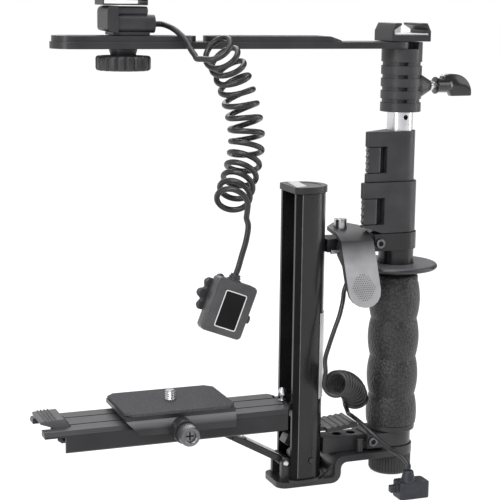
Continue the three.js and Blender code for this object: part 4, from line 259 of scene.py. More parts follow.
# Pale vinyl of the bare labels, and painted shade for recesses and sockets
LABEL_VINYL = Finish("label_vinyl_pale", 0xC8C8C6, 0xD4D4D2, 0.42, grain_mm=0.5, depth_mm=0.004, mottle_mm=14, coat=0.2)
RECESS_BLACK = Finish("recess_shadow_black", 0x0C0C0E, 0x121214, 0.8, grain_mm=0.6, depth_mm=0.01, mottle_mm=10,
                      specular=0.2)


# Shapes

# Points on a round corner, its least radius in millimetres, and how close in metres points are doubles
CORNER_STEPS, LEAST_CORNER, DOUBLES = 6, 0.1, 1e-7
# The matrices that lay a drawing's width, depth and height along each axis
AXES = {
    "x": np.array([[0, 1, 0], [0, 0, 1], [1, 0, 0]]),
    "-y": np.array([[1, 0, 0], [0, 0, 1], [0, -1, 0]]),
    "z": np.eye(3),
}


def linked(name: str, data: bpy.types.ID) -> Object:
    """Makes an object of a mesh, curve, camera or lamp and links it to the scene."""
    obj = bpy.data.objects.new(name, data)
    bpy.context.scene.collection.objects.link(obj)
    return obj


def mesh_object(name: str, points: Array, faces: list) -> Object:
    """Makes an object from points in metres and lists of point numbers, with its doubles merged and its faces out."""
    mesh = bpy.data.meshes.new(name)
    mesh.from_pydata(points.reshape(-1, 3).tolist(), [], faces)
    work = bmesh.new()
    work.from_mesh(mesh)
    bmesh.ops.remove_doubles(work, verts=work.verts, dist=DOUBLES)
    bmesh.ops.dissolve_degenerate(work, edges=work.edges, dist=DOUBLES / 10)
    bmesh.ops.recalc_face_normals(work, faces=work.faces)
    work.to_mesh(mesh)
    work.free()
    return linked(name, mesh)


def grid_faces(rows: int, columns: int, wrap_rows: bool, wrap_columns: bool) -> Array:
    """Numbers the quads of a grid of points, as rows of four; a way that wraps joins its last line to its first."""
    i, j = np.meshgrid(np.arange(rows - (not wrap_rows)), np.arange(columns - (not wrap_columns)), indexing="ij")
    i, j, down, across = i.ravel(), j.ravel(), (i.ravel() + 1) % rows, (j.ravel() + 1) % columns
    return np.stack([i * columns + j, i * columns + across, down * columns + across, down * columns + j], axis=1)


def mark_smooth(work: bmesh.types.BMesh, angle: float) -> None:
    """Shades faces smooth, with open edges and those sharper than an angle in degrees kept crisp."""
    for face in work.faces:
        face.smooth = True
    for edge in work.edges:
        edge.smooth = bool(len(edge.link_faces) == 2 and edge.calc_face_angle() < np.radians(angle))


def smooth(obj: Object, angle: float = 35) -> Object:
    """Shades an object smooth, as mark_smooth does, and returns it."""
    work = bmesh.new()
    work.from_mesh(obj.data)
    mark_smooth(work, angle)
    work.to_mesh(obj.data)
    work.free()
    return obj


@dataclass(frozen=True)
class Stand:
    """Where a drawn form stands.

    axis is a key of AXES, the direction of the heights, and centre is the axis's foot in millimetres. place is a
    function of x, y and z arrays that moves the points, for what stands on a tilted piece.
    """

    axis: str = "z"
    centre: Point = (0, 0, 0)
    place: Place | None = None

    def points(self, drawn: Array) -> Array:
        """Puts drawn points, in millimetres with the heights last, in their place in metres."""
        points = drawn.reshape(-1, 3) @ AXES[self.axis] + np.array(self.centre)
        return (self.place(*points.T) if self.place else points) * MM


def turned(name: str, profile: list[Pair], stand: Stand, sides: int = 96, beyond: float = 0,
           cut: Place | None = None) -> Object:
    """Turns a profile of radius and height pairs, in millimetres, about an axis in so many sides.

    cut is a function of height and angle arrays that is taken off radii beyond one, for knurls, lobes and threads.
    """
    rows = np.array(profile, float)
    angle = np.linspace(0, 2 * np.pi, sides, endpoint=False)
    radius, height, around = np.broadcast_arrays(rows[:, :1], rows[:, 1:], angle)
    if cut:
        radius = np.where(radius > beyond, radius - cut(height, around), radius)
    drawn = np.stack([radius * np.cos(around), radius * np.sin(around), height], axis=-1)
    return smooth(mesh_object(name, stand.points(drawn), grid_faces(len(rows), sides, False, True).tolist()))


def stacked(name: str, loops: Array, stand: Stand, closed: bool = False) -> Object:
    """Joins loops of points, a (rows, columns, 3) array, into a skin.

    A flat face closes it at each end, or the last loop joins the first if it is closed.
    """
    rows, columns = loops.shape[:2]
    ends = [] if closed else [list(range(columns))[::-1], list(range((rows - 1) * columns, rows * columns))]
    return mesh_object(name, stand.points(loops), ends + grid_faces(rows, columns, closed, True).tolist())


def raised(outline: Array, level: float) -> Array:
    """Stands an (n, 2) outline at a height, as an (n, 3) array."""
    return np.column_stack([outline, np.full(len(outline), level)])


def slab(name: str, outline: Array, ends: Pair, stand: Stand) -> Object:
    """Raises a flat outline, an (n, 2) array in millimetres, between two heights."""
    return stacked(name, np.stack([raised(outline, level) for level in ends]), stand)


def rounded(width: float, height: float, corner: float) -> Array:
    """A rectangle's outline about the origin with round corners: four quarter circles in turn."""
    angle = np.linspace(0, np.pi / 2, CORNER_STEPS)
    quarter = corner * np.column_stack([np.cos(angle), np.sin(angle)])
    reach = np.array([width / 2 - corner, height / 2 - corner])
    turns = [np.array([[np.cos(t), np.sin(t)], [-np.sin(t), np.cos(t)]]) for t in np.arange(4) * np.pi / 2]
    signs = np.array([[1, 1], [-1, 1], [-1, -1], [1, -1]])
    return np.concatenate([quarter @ turn + sign * reach for turn, sign in zip(turns, signs)])


def inset_loops(size: Pair, corner: float, steps: list[Pair]) -> Array:
    """Loops of a round-cornered rectangle, one for each step, which is an inset and a height."""
    width, height = size
    return np.stack([
        raised(rounded(width - 2 * inset, height - 2 * inset, max(corner - inset, LEAST_CORNER)), level)
        for inset, level in steps
    ])


def pillow(name: str, size: Pair, corner: float, ends: Pair, edges: Pair, stand: Stand) -> Object:
    """A round-cornered block whose two ends are rounded: inset e(1 - sin t), level e(1 - cos t) for t up to 90 degrees.

    ends are its first and last height and edges how far each end is rounded, in millimetres.
    """
    t = np.linspace(0, np.pi / 2, CORNER_STEPS)
    first, last = 1 - np.sin(t), 1 - np.cos(t)
    inset = np.concatenate([edges[0] * first, edges[1] * last])
    level = np.concatenate([ends[0] + edges[0] * last, ends[1] - edges[1] * first])
    return smooth(stacked(name, inset_loops(size, corner, list(zip(inset, level))), stand), 30)


# Sub-assemblies

# Edges sharper than the first angle, in degrees, are broken, and those sharper than the second stay crisp
BEVEL_ANGLE, CREASE_ANGLE = 38, 31
# Points of a CAD node this close, in metres, are merged, and faces this nearly flat, in degrees, are joined
MERGE_DISTANCE, FLAT_ANGLE = 2e-6, 0.6
# A screw's painted socket shade, a dark hexagon, starts this far inside its head and stands this far out of it
SOCKET_DEPTH, SOCKET_LIP = 0.4, 0.03


@dataclass
class Assembly:
    """A sub-assembly of the bracket: its pieces, and how they are dressed and carried."""

    body: str
    made: list[str] = field(default_factory=list)

    def keep(self, obj: Object, finish: Finish, body: str | None = None, nodes: tuple[str, ...] = (),
             bevel_mm: float = 0.0, slot: str | None = None) -> Object:
        """Gives a piece its finish, its body, the CAD nodes it stands for and broken edges, and returns it.

        Body is by default that of its first node, or the assembly's own body. slot is not used.
        """
        obj.data.materials.clear()
        obj.data.materials.append(finish.build())
        if bevel_mm:
            edge = obj.modifiers.new("broken_edges", "BEVEL")
            edge.width, edge.segments, edge.limit_method = bevel_mm * MM, 2, "ANGLE"
            edge.angle_limit, edge.use_clamp_overlap = np.radians(BEVEL_ANGLE), True
            for face in obj.data.polygons:
                face.use_smooth = True
            even = obj.modifiers.new("even_shading", "WEIGHTED_NORMAL")
            even.keep_sharp, even.weight = True, 50
        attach(obj, body or (NODE_BODY[nodes[0]] if nodes else self.body))
        if nodes:
            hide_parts(*nodes)
        self.made.append(obj.name)
        return obj

    def dress(self, node: str, finish: Finish, bevel_mm: float) -> Object:
        """Copies a CAD node, merges and flattens the copy, breaks its edges and gives it a finish."""
        source = frame["nodes"][node]
        mesh = source.data.copy()
        mesh.transform(source.matrix_world)
        work = bmesh.new()
        work.from_mesh(mesh)
        bmesh.ops.remove_doubles(work, verts=work.verts, dist=MERGE_DISTANCE)
        bmesh.ops.dissolve_limit(work, angle_limit=np.radians(FLAT_ANGLE), verts=work.verts, edges=work.edges)
        mark_smooth(work, CREASE_ANGLE)
        work.to_mesh(mesh)
        work.free()
        return self.keep(linked(f"{node}_shell", mesh), finish, nodes=(node,), bevel_mm=bevel_mm)

    def dress_all(self, *rows: tuple[str, Finish, float]) -> None:
        """Dresses CAD nodes in turn, each row with a node, a finish and how far its edges are broken."""
        for row in rows:
            self.dress(*row)

    def two_tone(self, obj: Object, finish: Finish, chosen: Callable[[Vector, Vector], bool]) -> None:
        """Gives a piece a second finish where a test of a face's middle, in millimetres, and its normal holds."""
        obj.data.materials.append(finish.build())
        for face in obj.data.polygons:
            face.material_index = int(chosen(face.center / MM, face.normal))

    def socket(self, node: str, radius: float) -> None:
        """Sets a dark six-sided mark of a radius in millimetres into the front of a screw's CAD node, as painted shade
        for its socket.
        """
        low, high = (np.array(corner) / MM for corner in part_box(node))
        corner = np.arange(6) * np.pi / 3
        hexagon = radius * np.column_stack([np.cos(corner), np.sin(corner)])
        stand = Stand("-y", ((low[0] + high[0]) / 2, 0, (low[2] + high[2]) / 2))
        mark = slab(f"{node}_socket", hexagon, (-low[1] - SOCKET_DEPTH, -low[1] + SOCKET_LIP), stand)
        self.keep(mark, RECESS_BLACK, body=NODE_BODY[node])


# Cords


def catmull_rom(points: Array, per_span: int) -> Array:
    """A smooth line through points: on each span a cubic whose end slopes lean on both neighbours.

    points is an (n, 3) array. The spans are timed by the square root of their lengths, so corners don't overshoot.
    """
    before = np.vstack([2 * points[0] - points[1], points[:-2]])
    after = np.vstack([points[2:], 2 * points[-1] - points[-2]])
    here, there = points[:-1], points[1:]
    d0, d1, d2 = (np.sqrt(np.linalg.norm(b - a, axis=1))[:, None]
                  for a, b in ((before, here), (here, there), (there, after)))
    slope1 = ((here - before) / d0 - (there - before) / (d0 + d1) + (there - here) / d1) * d1
    slope2 = ((there - here) / d1 - (after - here) / (d1 + d2) + (after - there) / d2) * d1
    t = np.linspace(0, 1, per_span, endpoint=False)[None, :, None]
    a, b, s1, s2 = here[:, None], there[:, None], slope1[:, None], slope2[:, None]
    line = a + s1 * t + (-3 * a + 3 * b - 2 * s1 - s2) * t**2 + (2 * a - 2 * b + s1 + s2) * t**3
    return np.vstack([line.reshape(-1, 3), points[-1]])


@dataclass(frozen=True)
class CurlyCord:
    """A round cord wound about a curved axis: the axis plus the wind radius times (cos, sin) of a turning angle.

    Lengths are in millimetres. The angle starts at start_angle from the steer direction, and hand is its sense.
    """

    name: str
    radius: float
    wind_radius: float
    curls: float
    start_angle: float
    hand: int
    steer: Point
    axis: tuple[Point, ...]
    lead_in: tuple[Point, ...]
    lead_out: tuple[Point, ...]
    per_curl: int = 32
    axis_steps: int = 200
    lead_steps: int = 10

    def helix(self) -> Array:
        """Works out the points of the winding in millimetres."""
        line = catmull_rom(np.array(self.axis), self.axis_steps)
        run = np.concatenate([[0], np.cumsum(np.linalg.norm(np.diff(line, axis=0), axis=1))])
        steps = round(self.curls * self.per_curl)
        share = np.linspace(0, run[-1], steps + 1)
        centre = np.column_stack([np.interp(share, run, line[:, k]) for k in range(3)])
        slope = np.gradient(line, axis=0)
        along = np.column_stack([np.interp(share, run, slope[:, k]) for k in range(3)])
        along /= np.linalg.norm(along, axis=1)[:, None]
        steer = np.array(self.steer)
        side = steer - (along @ steer)[:, None] * along
        side /= np.linalg.norm(side, axis=1)[:, None]
        other = np.cross(along, side)
        turn = self.start_angle + self.hand * 2 * np.pi * np.arange(steps + 1)[:, None] / self.per_curl
        return centre + self.wind_radius * (side * np.cos(turn) + other * np.sin(turn))

    def centre_line(self) -> Array:
        """Joins the lead in, the winding and the lead out, straight for one diameter at each end of the winding."""
        winding = self.helix()
        run = 2 * self.radius
        out = winding[-1] - winding[-2]
        back = winding[0] - winding[1]
        leave = winding[-1] + out / np.linalg.norm(out) * np.array([[run], [2 * run]])
        arrive = winding[0] + back / np.linalg.norm(back) * np.array([[2 * run], [run]])
        first = catmull_rom(np.vstack([self.lead_in, arrive]), self.lead_steps)
        last = catmull_rom(np.vstack([leave, self.lead_out]), self.lead_steps)
        return np.vstack([first, winding, last])

    def build(self, finish: Finish) -> tuple[Object, float]:
        """Makes the cord as a curve of one open spline, and returns it with its length in metres."""
        points = self.centre_line() * MM
        curve = bpy.data.curves.new(self.name, "CURVE")
        curve.dimensions = "3D"
        curve.bevel_depth, curve.bevel_resolution, curve.use_fill_caps = self.radius * MM, 4, True
        spline = curve.splines.new("POLY")
        spline.points.add(len(points) - 1)
        spline.points.foreach_set("co", np.column_stack([points, np.ones(len(points))]).ravel())
        curve.materials.append(finish.build())
        return linked(self.name, curve), float(np.linalg.norm(np.diff(points, axis=0), axis=1).sum())


# The camera block's tilt about Y, in radians, and its middle, where it hangs on the end of its cord
BLOCK_TILT = 0.36
BLOCK_CENTRE = np.array([-130.8, -54.0, 125.7])


def on_block(x: Array | float, y: Array | float, z: Array | float) -> Array:
    """Points of the upright camera block, turned by its tilt about Y and put in their place, in millimetres."""
    c, s = np.cos(BLOCK_TILT), np.sin(BLOCK_TILT)
    return BLOCK_CENTRE + np.stack(np.broadcast_arrays(c * x + s * z, y, -s * x + c * z), axis=-1)


FLASH_CORD = CurlyCord(
    name="flash_cord", radius=1.65, wind_radius=9, curls=13.375, start_angle=2.4, hand=-1, steer=(1, 0, 0),
    axis=(
        (-133.2, -35, 268.6), (-124.9, -30, 260.4), (-119.6, -27, 251.9), (-116.5, -26, 244.6), (-114.1, -26, 237.3),
        (-112.2, -26.5, 229.9), (-111.1, -27.5, 222.7), (-110.9, -28.5, 215.4), (-112.1, -30, 208.2),
        (-114.7, -32.5, 201.2), (-118.7, -37, 193.9), (-123.3, -43, 187.8), (-127.4, -50, 182.8),
    ),
    lead_in=(
        (-156.3, 0, 279.9), (-152.7, 0, 279.9), (-149, -9.5, 277.8), (-146.2, -15.5, 274.4), (-144.2, -21, 270.6),
        (-143.6, -26, 266.6), (-142.8, -31, 263.4),
    ),
    lead_out=(
        (-118.2, -51.8, 171), (-119.7, -52.6, 162.4), (-122.3, -53.3, 154.7),
        tuple(on_block(-2, 0, 22.7)), tuple(on_block(-2, 0, 19.2)),
    ),
)
RELEASE_CORD = CurlyCord(
    name="release_cord", radius=1.38, wind_radius=6.9, curls=10.125, start_angle=4.9, hand=-1, steer=(0, 0, 1),
    axis=(
        (-53.6, -31, 68.6), (-46.4, -23.5, 66.6), (-39.5, -16.5, 63.3), (-33.5, -10.2, 59), (-28.9, -5, 54.3),
        (-26, -1.5, 49.8), (-24.5, 0.5, 46),
    ),
    lead_in=(
        (-36, -10.4, 135), (-36, -10.4, 132), (-36.6, -11.4, 129.4), (-39, -12.6, 125.4), (-41.2, -14, 121),
        (-42.2, -15, 116), (-45.6, -18, 107.6), (-50.2, -21, 99.4), (-54.2, -23, 91), (-56.8, -23.4, 82.5),
    ),
    lead_out=(
        (-30.8, -8.2, 40.2), (-28.9, -13.4, 38.4), (-25.5, -19.5, 34.6), (-22.3, -25, 31), (-19.7, -31, 28.2),
        (-17.5, -37, 25.7), (-15.2, -43.4, 24.2), (-12.4, -50, 19.9), (-12.4, -50, 17.0),
    ),
)


@dataclass
class Cords(Assembly):
    """The two curly cords, each wound from one unbroken cord and ending in its own plug."""

    body: str = "cord_head"
    wound: dict[str, tuple[Object, float]] = field(default_factory=dict)

    def make(self) -> None:
        """Winds both cords and puts each on its body."""
        for cord, body, nodes in (
            (FLASH_CORD, "cord_head", ("ttl_lead_upper", "ttl_coil", "ttl_lead_lower")),
            (RELEASE_CORD, "frame", ("release_lead", "release_coil", "release_tail")),
        ):
            obj, length = cord.build(CORD_VINYL)
            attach(obj, body)
            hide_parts(*nodes)
            self.made.append(obj.name)
            self.wound[cord.name] = (obj, length)

    def declare(self, cord: CurlyCord, far_end: str, lay: str, pieces: list[str]) -> None:
        """Does nothing: the cord, what closes its far end, how it lies and the pieces that it carries are not used."""


@dataclass
class BaseAndPost(Assembly):
    """The cast base, the slotted post and the bars that carry them on the column."""

    body: str = "frame"
    knob_radius: float = 13.3
    knob_height: float = 12.4
    knurl_teeth: int = 44
    knurl_depth: float = 0.5
    socket_radius: float = 1.7
    slot_left: float = -70
    slot_front: float = -11.8

    def knob(self) -> None:
        """Makes the bottom knob: a drum with a rounded foot and n teeth, R - d (1 - |cos(na / 2)|^0.7)."""
        r, top, deep = self.knob_radius, self.knob_height, self.knurl_depth
        profile = [(0, 0), (9.4, 0), (9.8, 0.5), (10.6, 0.5), (11, 0), (11.6, 0.15), (12.5, 0.8), (r, 2.2), (r, 4),
                   (r, 8), (r, 11.6), (r - 0.4, top), (0, top)]
        obj = turned("base_knob_drum", profile, Stand(), 8 * self.knurl_teeth, r - 0.7,
                     lambda _, angle: deep * (1 - np.abs(np.cos(angle * self.knurl_teeth / 2)) ** 0.7))
        self.keep(obj, ABS_BLACK, nodes=("base_knob",))

    def make(self) -> None:
        """Dresses the fixed frame's nodes and adds the small fittings."""
        self.knob()
        self.dress_all(
            ("base_casting", ENAMEL, 0.5), ("lower_brace", ENAMEL, 0.4), ("upper_brace", ANODISED_BLACK, 0.4),
            ("lower_brace_screw", WORN_NICKEL, 0.15), ("upper_brace_screw", WORN_NICKEL, 0.15),
            ("post_screw", BLACK_OXIDE, 0.15),
        )
        for screw in ("lower_brace_screw", "upper_brace_screw"):
            self.socket(screw, self.socket_radius)
        post = self.dress("post", ANODISED_BLACK, 0.35)
        # The slot's inside faces are painted near black as painted shade
        self.two_tone(post, RECESS_BLACK, lambda middle, _: middle.x < self.slot_left and middle.y < self.slot_front)
        # A thin ridge along the slot's edge in pale nickel: a painted highlight on the edge of the black post
        bead = slab("post_edge_bead_painted_highlight", rounded(0.5, 0.5, 0.2), (6, 180.8), Stand("z", (-69.2, -13.95, 0)))
        self.keep(bead, WORN_NICKEL)
        self.dress("post_cap", CAP_ABS, 0.6)
        corners = np.array([(-72.2, -12.2), (-63.9, -6.6), (-60.7, 16.2), (-68.4, 12.4)])
        self.keep(slab("post_cap_label", corners, (184.9, 185.35), Stand()), LABEL_VINYL, slot="label")
        self.dress_all(
            ("post_label", LABEL_VINYL, 0.05), ("fold_latch", WORN_NICKEL, 0.3), ("latch_roller", NYLON_PALE, 0.4),
            ("fold_lever", ABS_BLACK, 0.3), ("ear_bolt", CHROME, 0.2), ("hinge_bracket", BLACK_OXIDE, 0.2),
        )


@dataclass
class Column(Assembly):
    """The telescoping grip column with its guard and flip locks."""

    body: str = "frame"
    grip_bottom: float = 32.3
    grip_wall: float = 91.2
    grip_radius: float = 15.1
    finger_swell: float = 0.85
    finger_width: float = 24.2
    first_finger: float = 6.4

    def grip(self) -> None:
        """Makes the finger grip, with tight grooves: the radius is R + s (2 |cos(pi (h - f) / p)|^0.8 - 1)."""
        rise = np.linspace(0, self.grip_wall, 150)
        swell = 2 * np.abs(np.cos(np.pi * (rise - self.first_finger) / self.finger_width)) ** 0.8 - 1
        wall = np.column_stack([self.grip_radius + self.finger_swell * swell, self.grip_bottom + rise]).tolist()
        bore, foot = 11.2, self.grip_bottom
        profile = [(bore, foot), *wall, (14.2, 126.2), (13.4, 127.4), (12.6, 127.9), (bore, 127.9), (bore, foot)]
        self.keep(turned("grip_sleeve_rubber", profile, Stand(), 128), GRIP_RUBBER, nodes=("grip_sleeve",))

    def make(self) -> None:
        """Dresses the nodes of the column."""
        self.dress_all(("foot_plug", BLACK_OXIDE, 0.2), ("column_tube", ANODISED_BLACK, 0.2),
                       ("grip_ring", ABS_BLACK, 0.4))
        self.grip()
        self.dress_all(("hand_guard", GUARD_ABS, 0.7), ("clamp_lower_body", ABS_BLACK, 0.9),
                       ("mid_tube", ENAMEL, 0.2), ("clamp_upper_body", ABS_BLACK, 0.9))
        # The levers' left faces, their teeth among them, are painted grey as a painted highlight
        for name in ("clamp_lower_lever", "clamp_upper_lever"):
            self.two_tone(self.dress(name, ENAMEL, 0.4), ABS_GREY, lambda _, normal: normal.x < -0.5)
        self.dress("stud_tube", CHROME, 0.2)


@dataclass
class Tray(Assembly):
    """The folding tray, its support and the quick release plate."""

    body: str = "tray"
    screw_x: float = -146.7
    screw_radius: float = 3.17
    pitch: float = 1.27
    thread_depth: float = 0.45
    thread_start: float = 60
    knob_centre: Point = (-147, 0, 48)
    knurls: int = 40
    knurl_depth: float = 0.12
    boss_reach: float = 7.1
    boss_front: float = -23.2
    jaw_top: float = 54.5

    def thread(self, height: Array, angle: Array) -> Array:
        """The cut of a helical thread: a triangle wave of the height's and the angle's share of a turn."""
        phase = (height / self.pitch - angle / (2 * np.pi)) % 1
        return self.thread_depth * np.abs(2 * phase - 1) * (height > self.thread_start)

    def camera_screw(self) -> None:
        """Makes the camera screw: a stem with a thread on a flange."""
        r = self.screw_radius
        stem = [(r, height) for height in np.linspace(59.4, 64.8, 60)]
        profile = [(0, 54.6), (7, 54.6), (7, 57), (r, 57), *stem, (2.4, 65.4), (0, 65.4)]
        obj = turned("camera_screw_stem", profile, Stand("z", (self.screw_x, 0, 0)), 64, 3, self.thread)
        self.keep(obj, CHROME, nodes=("camera_screw",))

    def side_knob(self) -> None:
        """Makes the plate's side knob: a drum with a fine knurl, and a dark cross in its recess as painted shade for a
        cross cut.
        """
        stand = Stand("-y", self.knob_centre)
        profile = [(0, 20.3), (2.4, 20.3), (2.4, 31.3), (5.6, 31.3), (6.1, 31.8), (6.1, 38.9), (5.4, 40), (3.9, 40),
                   (3.4, 39.6), (3.2, 38.1), (0, 38)]
        obj = turned("plate_knob_drum", profile, stand, 4 * self.knurls, 6,
                     lambda _, angle: self.knurl_depth * (1 - np.cos(angle * self.knurls)))
        self.keep(obj, WORN_NICKEL, nodes=("plate_knob",))
        arm, half = 2.4, 0.42
        quarter = np.array([(arm, -half), (arm, half), (half, half)])
        turn = np.array([[0, 1], [-1, 0]])
        cross = np.vstack([quarter @ np.linalg.matrix_power(turn, times) for times in range(4)])
        # A dark cross on the recess floor: painted shade for the cross cut
        self.keep(slab("plate_knob_cross", cross, (37.9, 38.15), stand), RECESS_BLACK, body="plate_screw")

    def on_jaw(self, middle: Vector, normal: Vector) -> bool:
        """Tells whether a face of the plate lies on its jaw front, where the painted highlight goes, and not on the
        side knob's boss.
        """
        boss = abs(middle.x - self.knob_centre[0]) < self.boss_reach and middle.y < self.boss_front
        return normal.y < -0.3 and middle.z < self.jaw_top and not boss

    def make(self) -> None:
        """Dresses the tray's nodes and makes its screws."""
        self.dress_all(("tray_rail", ANODISED_TRAY, 0.3), ("end_lever", ABS_GREY, 0.25),
                       ("end_pin", ABS_BLACK, 0.2), ("lock_plunger", CHROME, 0.15))
        # The upper band of the plate's jaw front takes a painted highlight
        self.two_tone(self.dress("camera_plate", ANODISED_DARK, 0.3), PLATE_JAW, self.on_jaw)
        self.dress("plate_pad", PAD_RUBBER, 0.3)
        self.camera_screw()
        self.side_knob()
        self.dress_all(("strut", ENAMEL, 0.3), ("strut_strip", NICKEL, 0.15), ("strut_shoe", ABS_BLACK, 0.3))


@dataclass
class Trigger(Assembly):
    """The bent hood, its screw and pin, and the socket and plug of the release cord."""

    body: str = "trigger"
    field_centre: Pair = (-33.4, 125.2)
    field_radius: float = 7.4
    dot_spacing: Pair = (1.45, 1.2)
    dot_radius: float = 0.4
    dot_height: float = 0.14

    def grip_dots(self) -> None:
        """Makes the round field of domes near the paddle's end: each is r (cos a sin b, sin a sin b, cos b)."""
        column, row = (part.ravel() for part in np.meshgrid(np.arange(-5, 6), np.arange(-6, 7), indexing="ij"))
        across, up_from = (column + 0.5 * (row % 2)) * self.dot_spacing[0], row * self.dot_spacing[1]
        kept = (across / self.field_radius) ** 2 + (up_from / self.field_radius) ** 2 < 1
        across, height_at = self.field_centre[0] + across[kept], self.field_centre[1] + up_from[kept]
        base_y = np.interp(height_at, [113.6, 124, 135.4], [-29.4, -26.1, -21.4]) + 0.03
        slope, out = np.array([-0.34, -0.94]), np.array([-0.94, 0.34])
        turns, rings = 12, 5
        a, b = np.meshgrid(np.linspace(0, 2 * np.pi, turns, endpoint=False), np.linspace(0.02, np.pi / 2, rings),
                           indexing="ij")
        side, along, up = (part.reshape(1, -1) for part in (np.cos(a) * np.sin(b), np.sin(a) * np.sin(b), np.cos(b)))
        radius, height = self.dot_radius, self.dot_height
        x = across[:, None] + radius * side
        y = base_y[:, None] + radius * along * slope[0] + height * up * out[0]
        z = height_at[:, None] + radius * along * slope[1] + height * up * out[1]
        patch = np.arange(turns * rings).reshape(turns, rings)
        first = turns * rings * np.arange(len(across))[:, None, None]
        faces = (grid_faces(turns, rings, True, False)[None] + first).reshape(-1, 4).tolist()
        faces += (np.stack([patch[:, 0], patch[:, -1]])[None] + first).reshape(-1, turns).tolist()
        self.keep(smooth(mesh_object("trigger_grip_dots", np.stack([x, y, z], axis=-1) * MM, faces), 60), ABS_GREY)

    def make(self) -> None:
        """Dresses the trigger's nodes."""
        # The hood's flat top, flanks and back take black plastic as painted shade, leaving the slope lit grey
        self.two_tone(self.dress("trigger_lever", ABS_SATIN, 0.6), ABS_BLACK,
                      lambda _, normal: normal.z > 0.75 or abs(normal.x) > 0.6 or normal.y > 0.3)
        self.grip_dots()
        self.dress_all(("trigger_screw", NICKEL, 0.3), ("trigger_pin", NICKEL, 0.2),
                       ("release_socket", ABS_BLACK, 0.3), ("release_plug", PLUG_VINYL, 0.9))


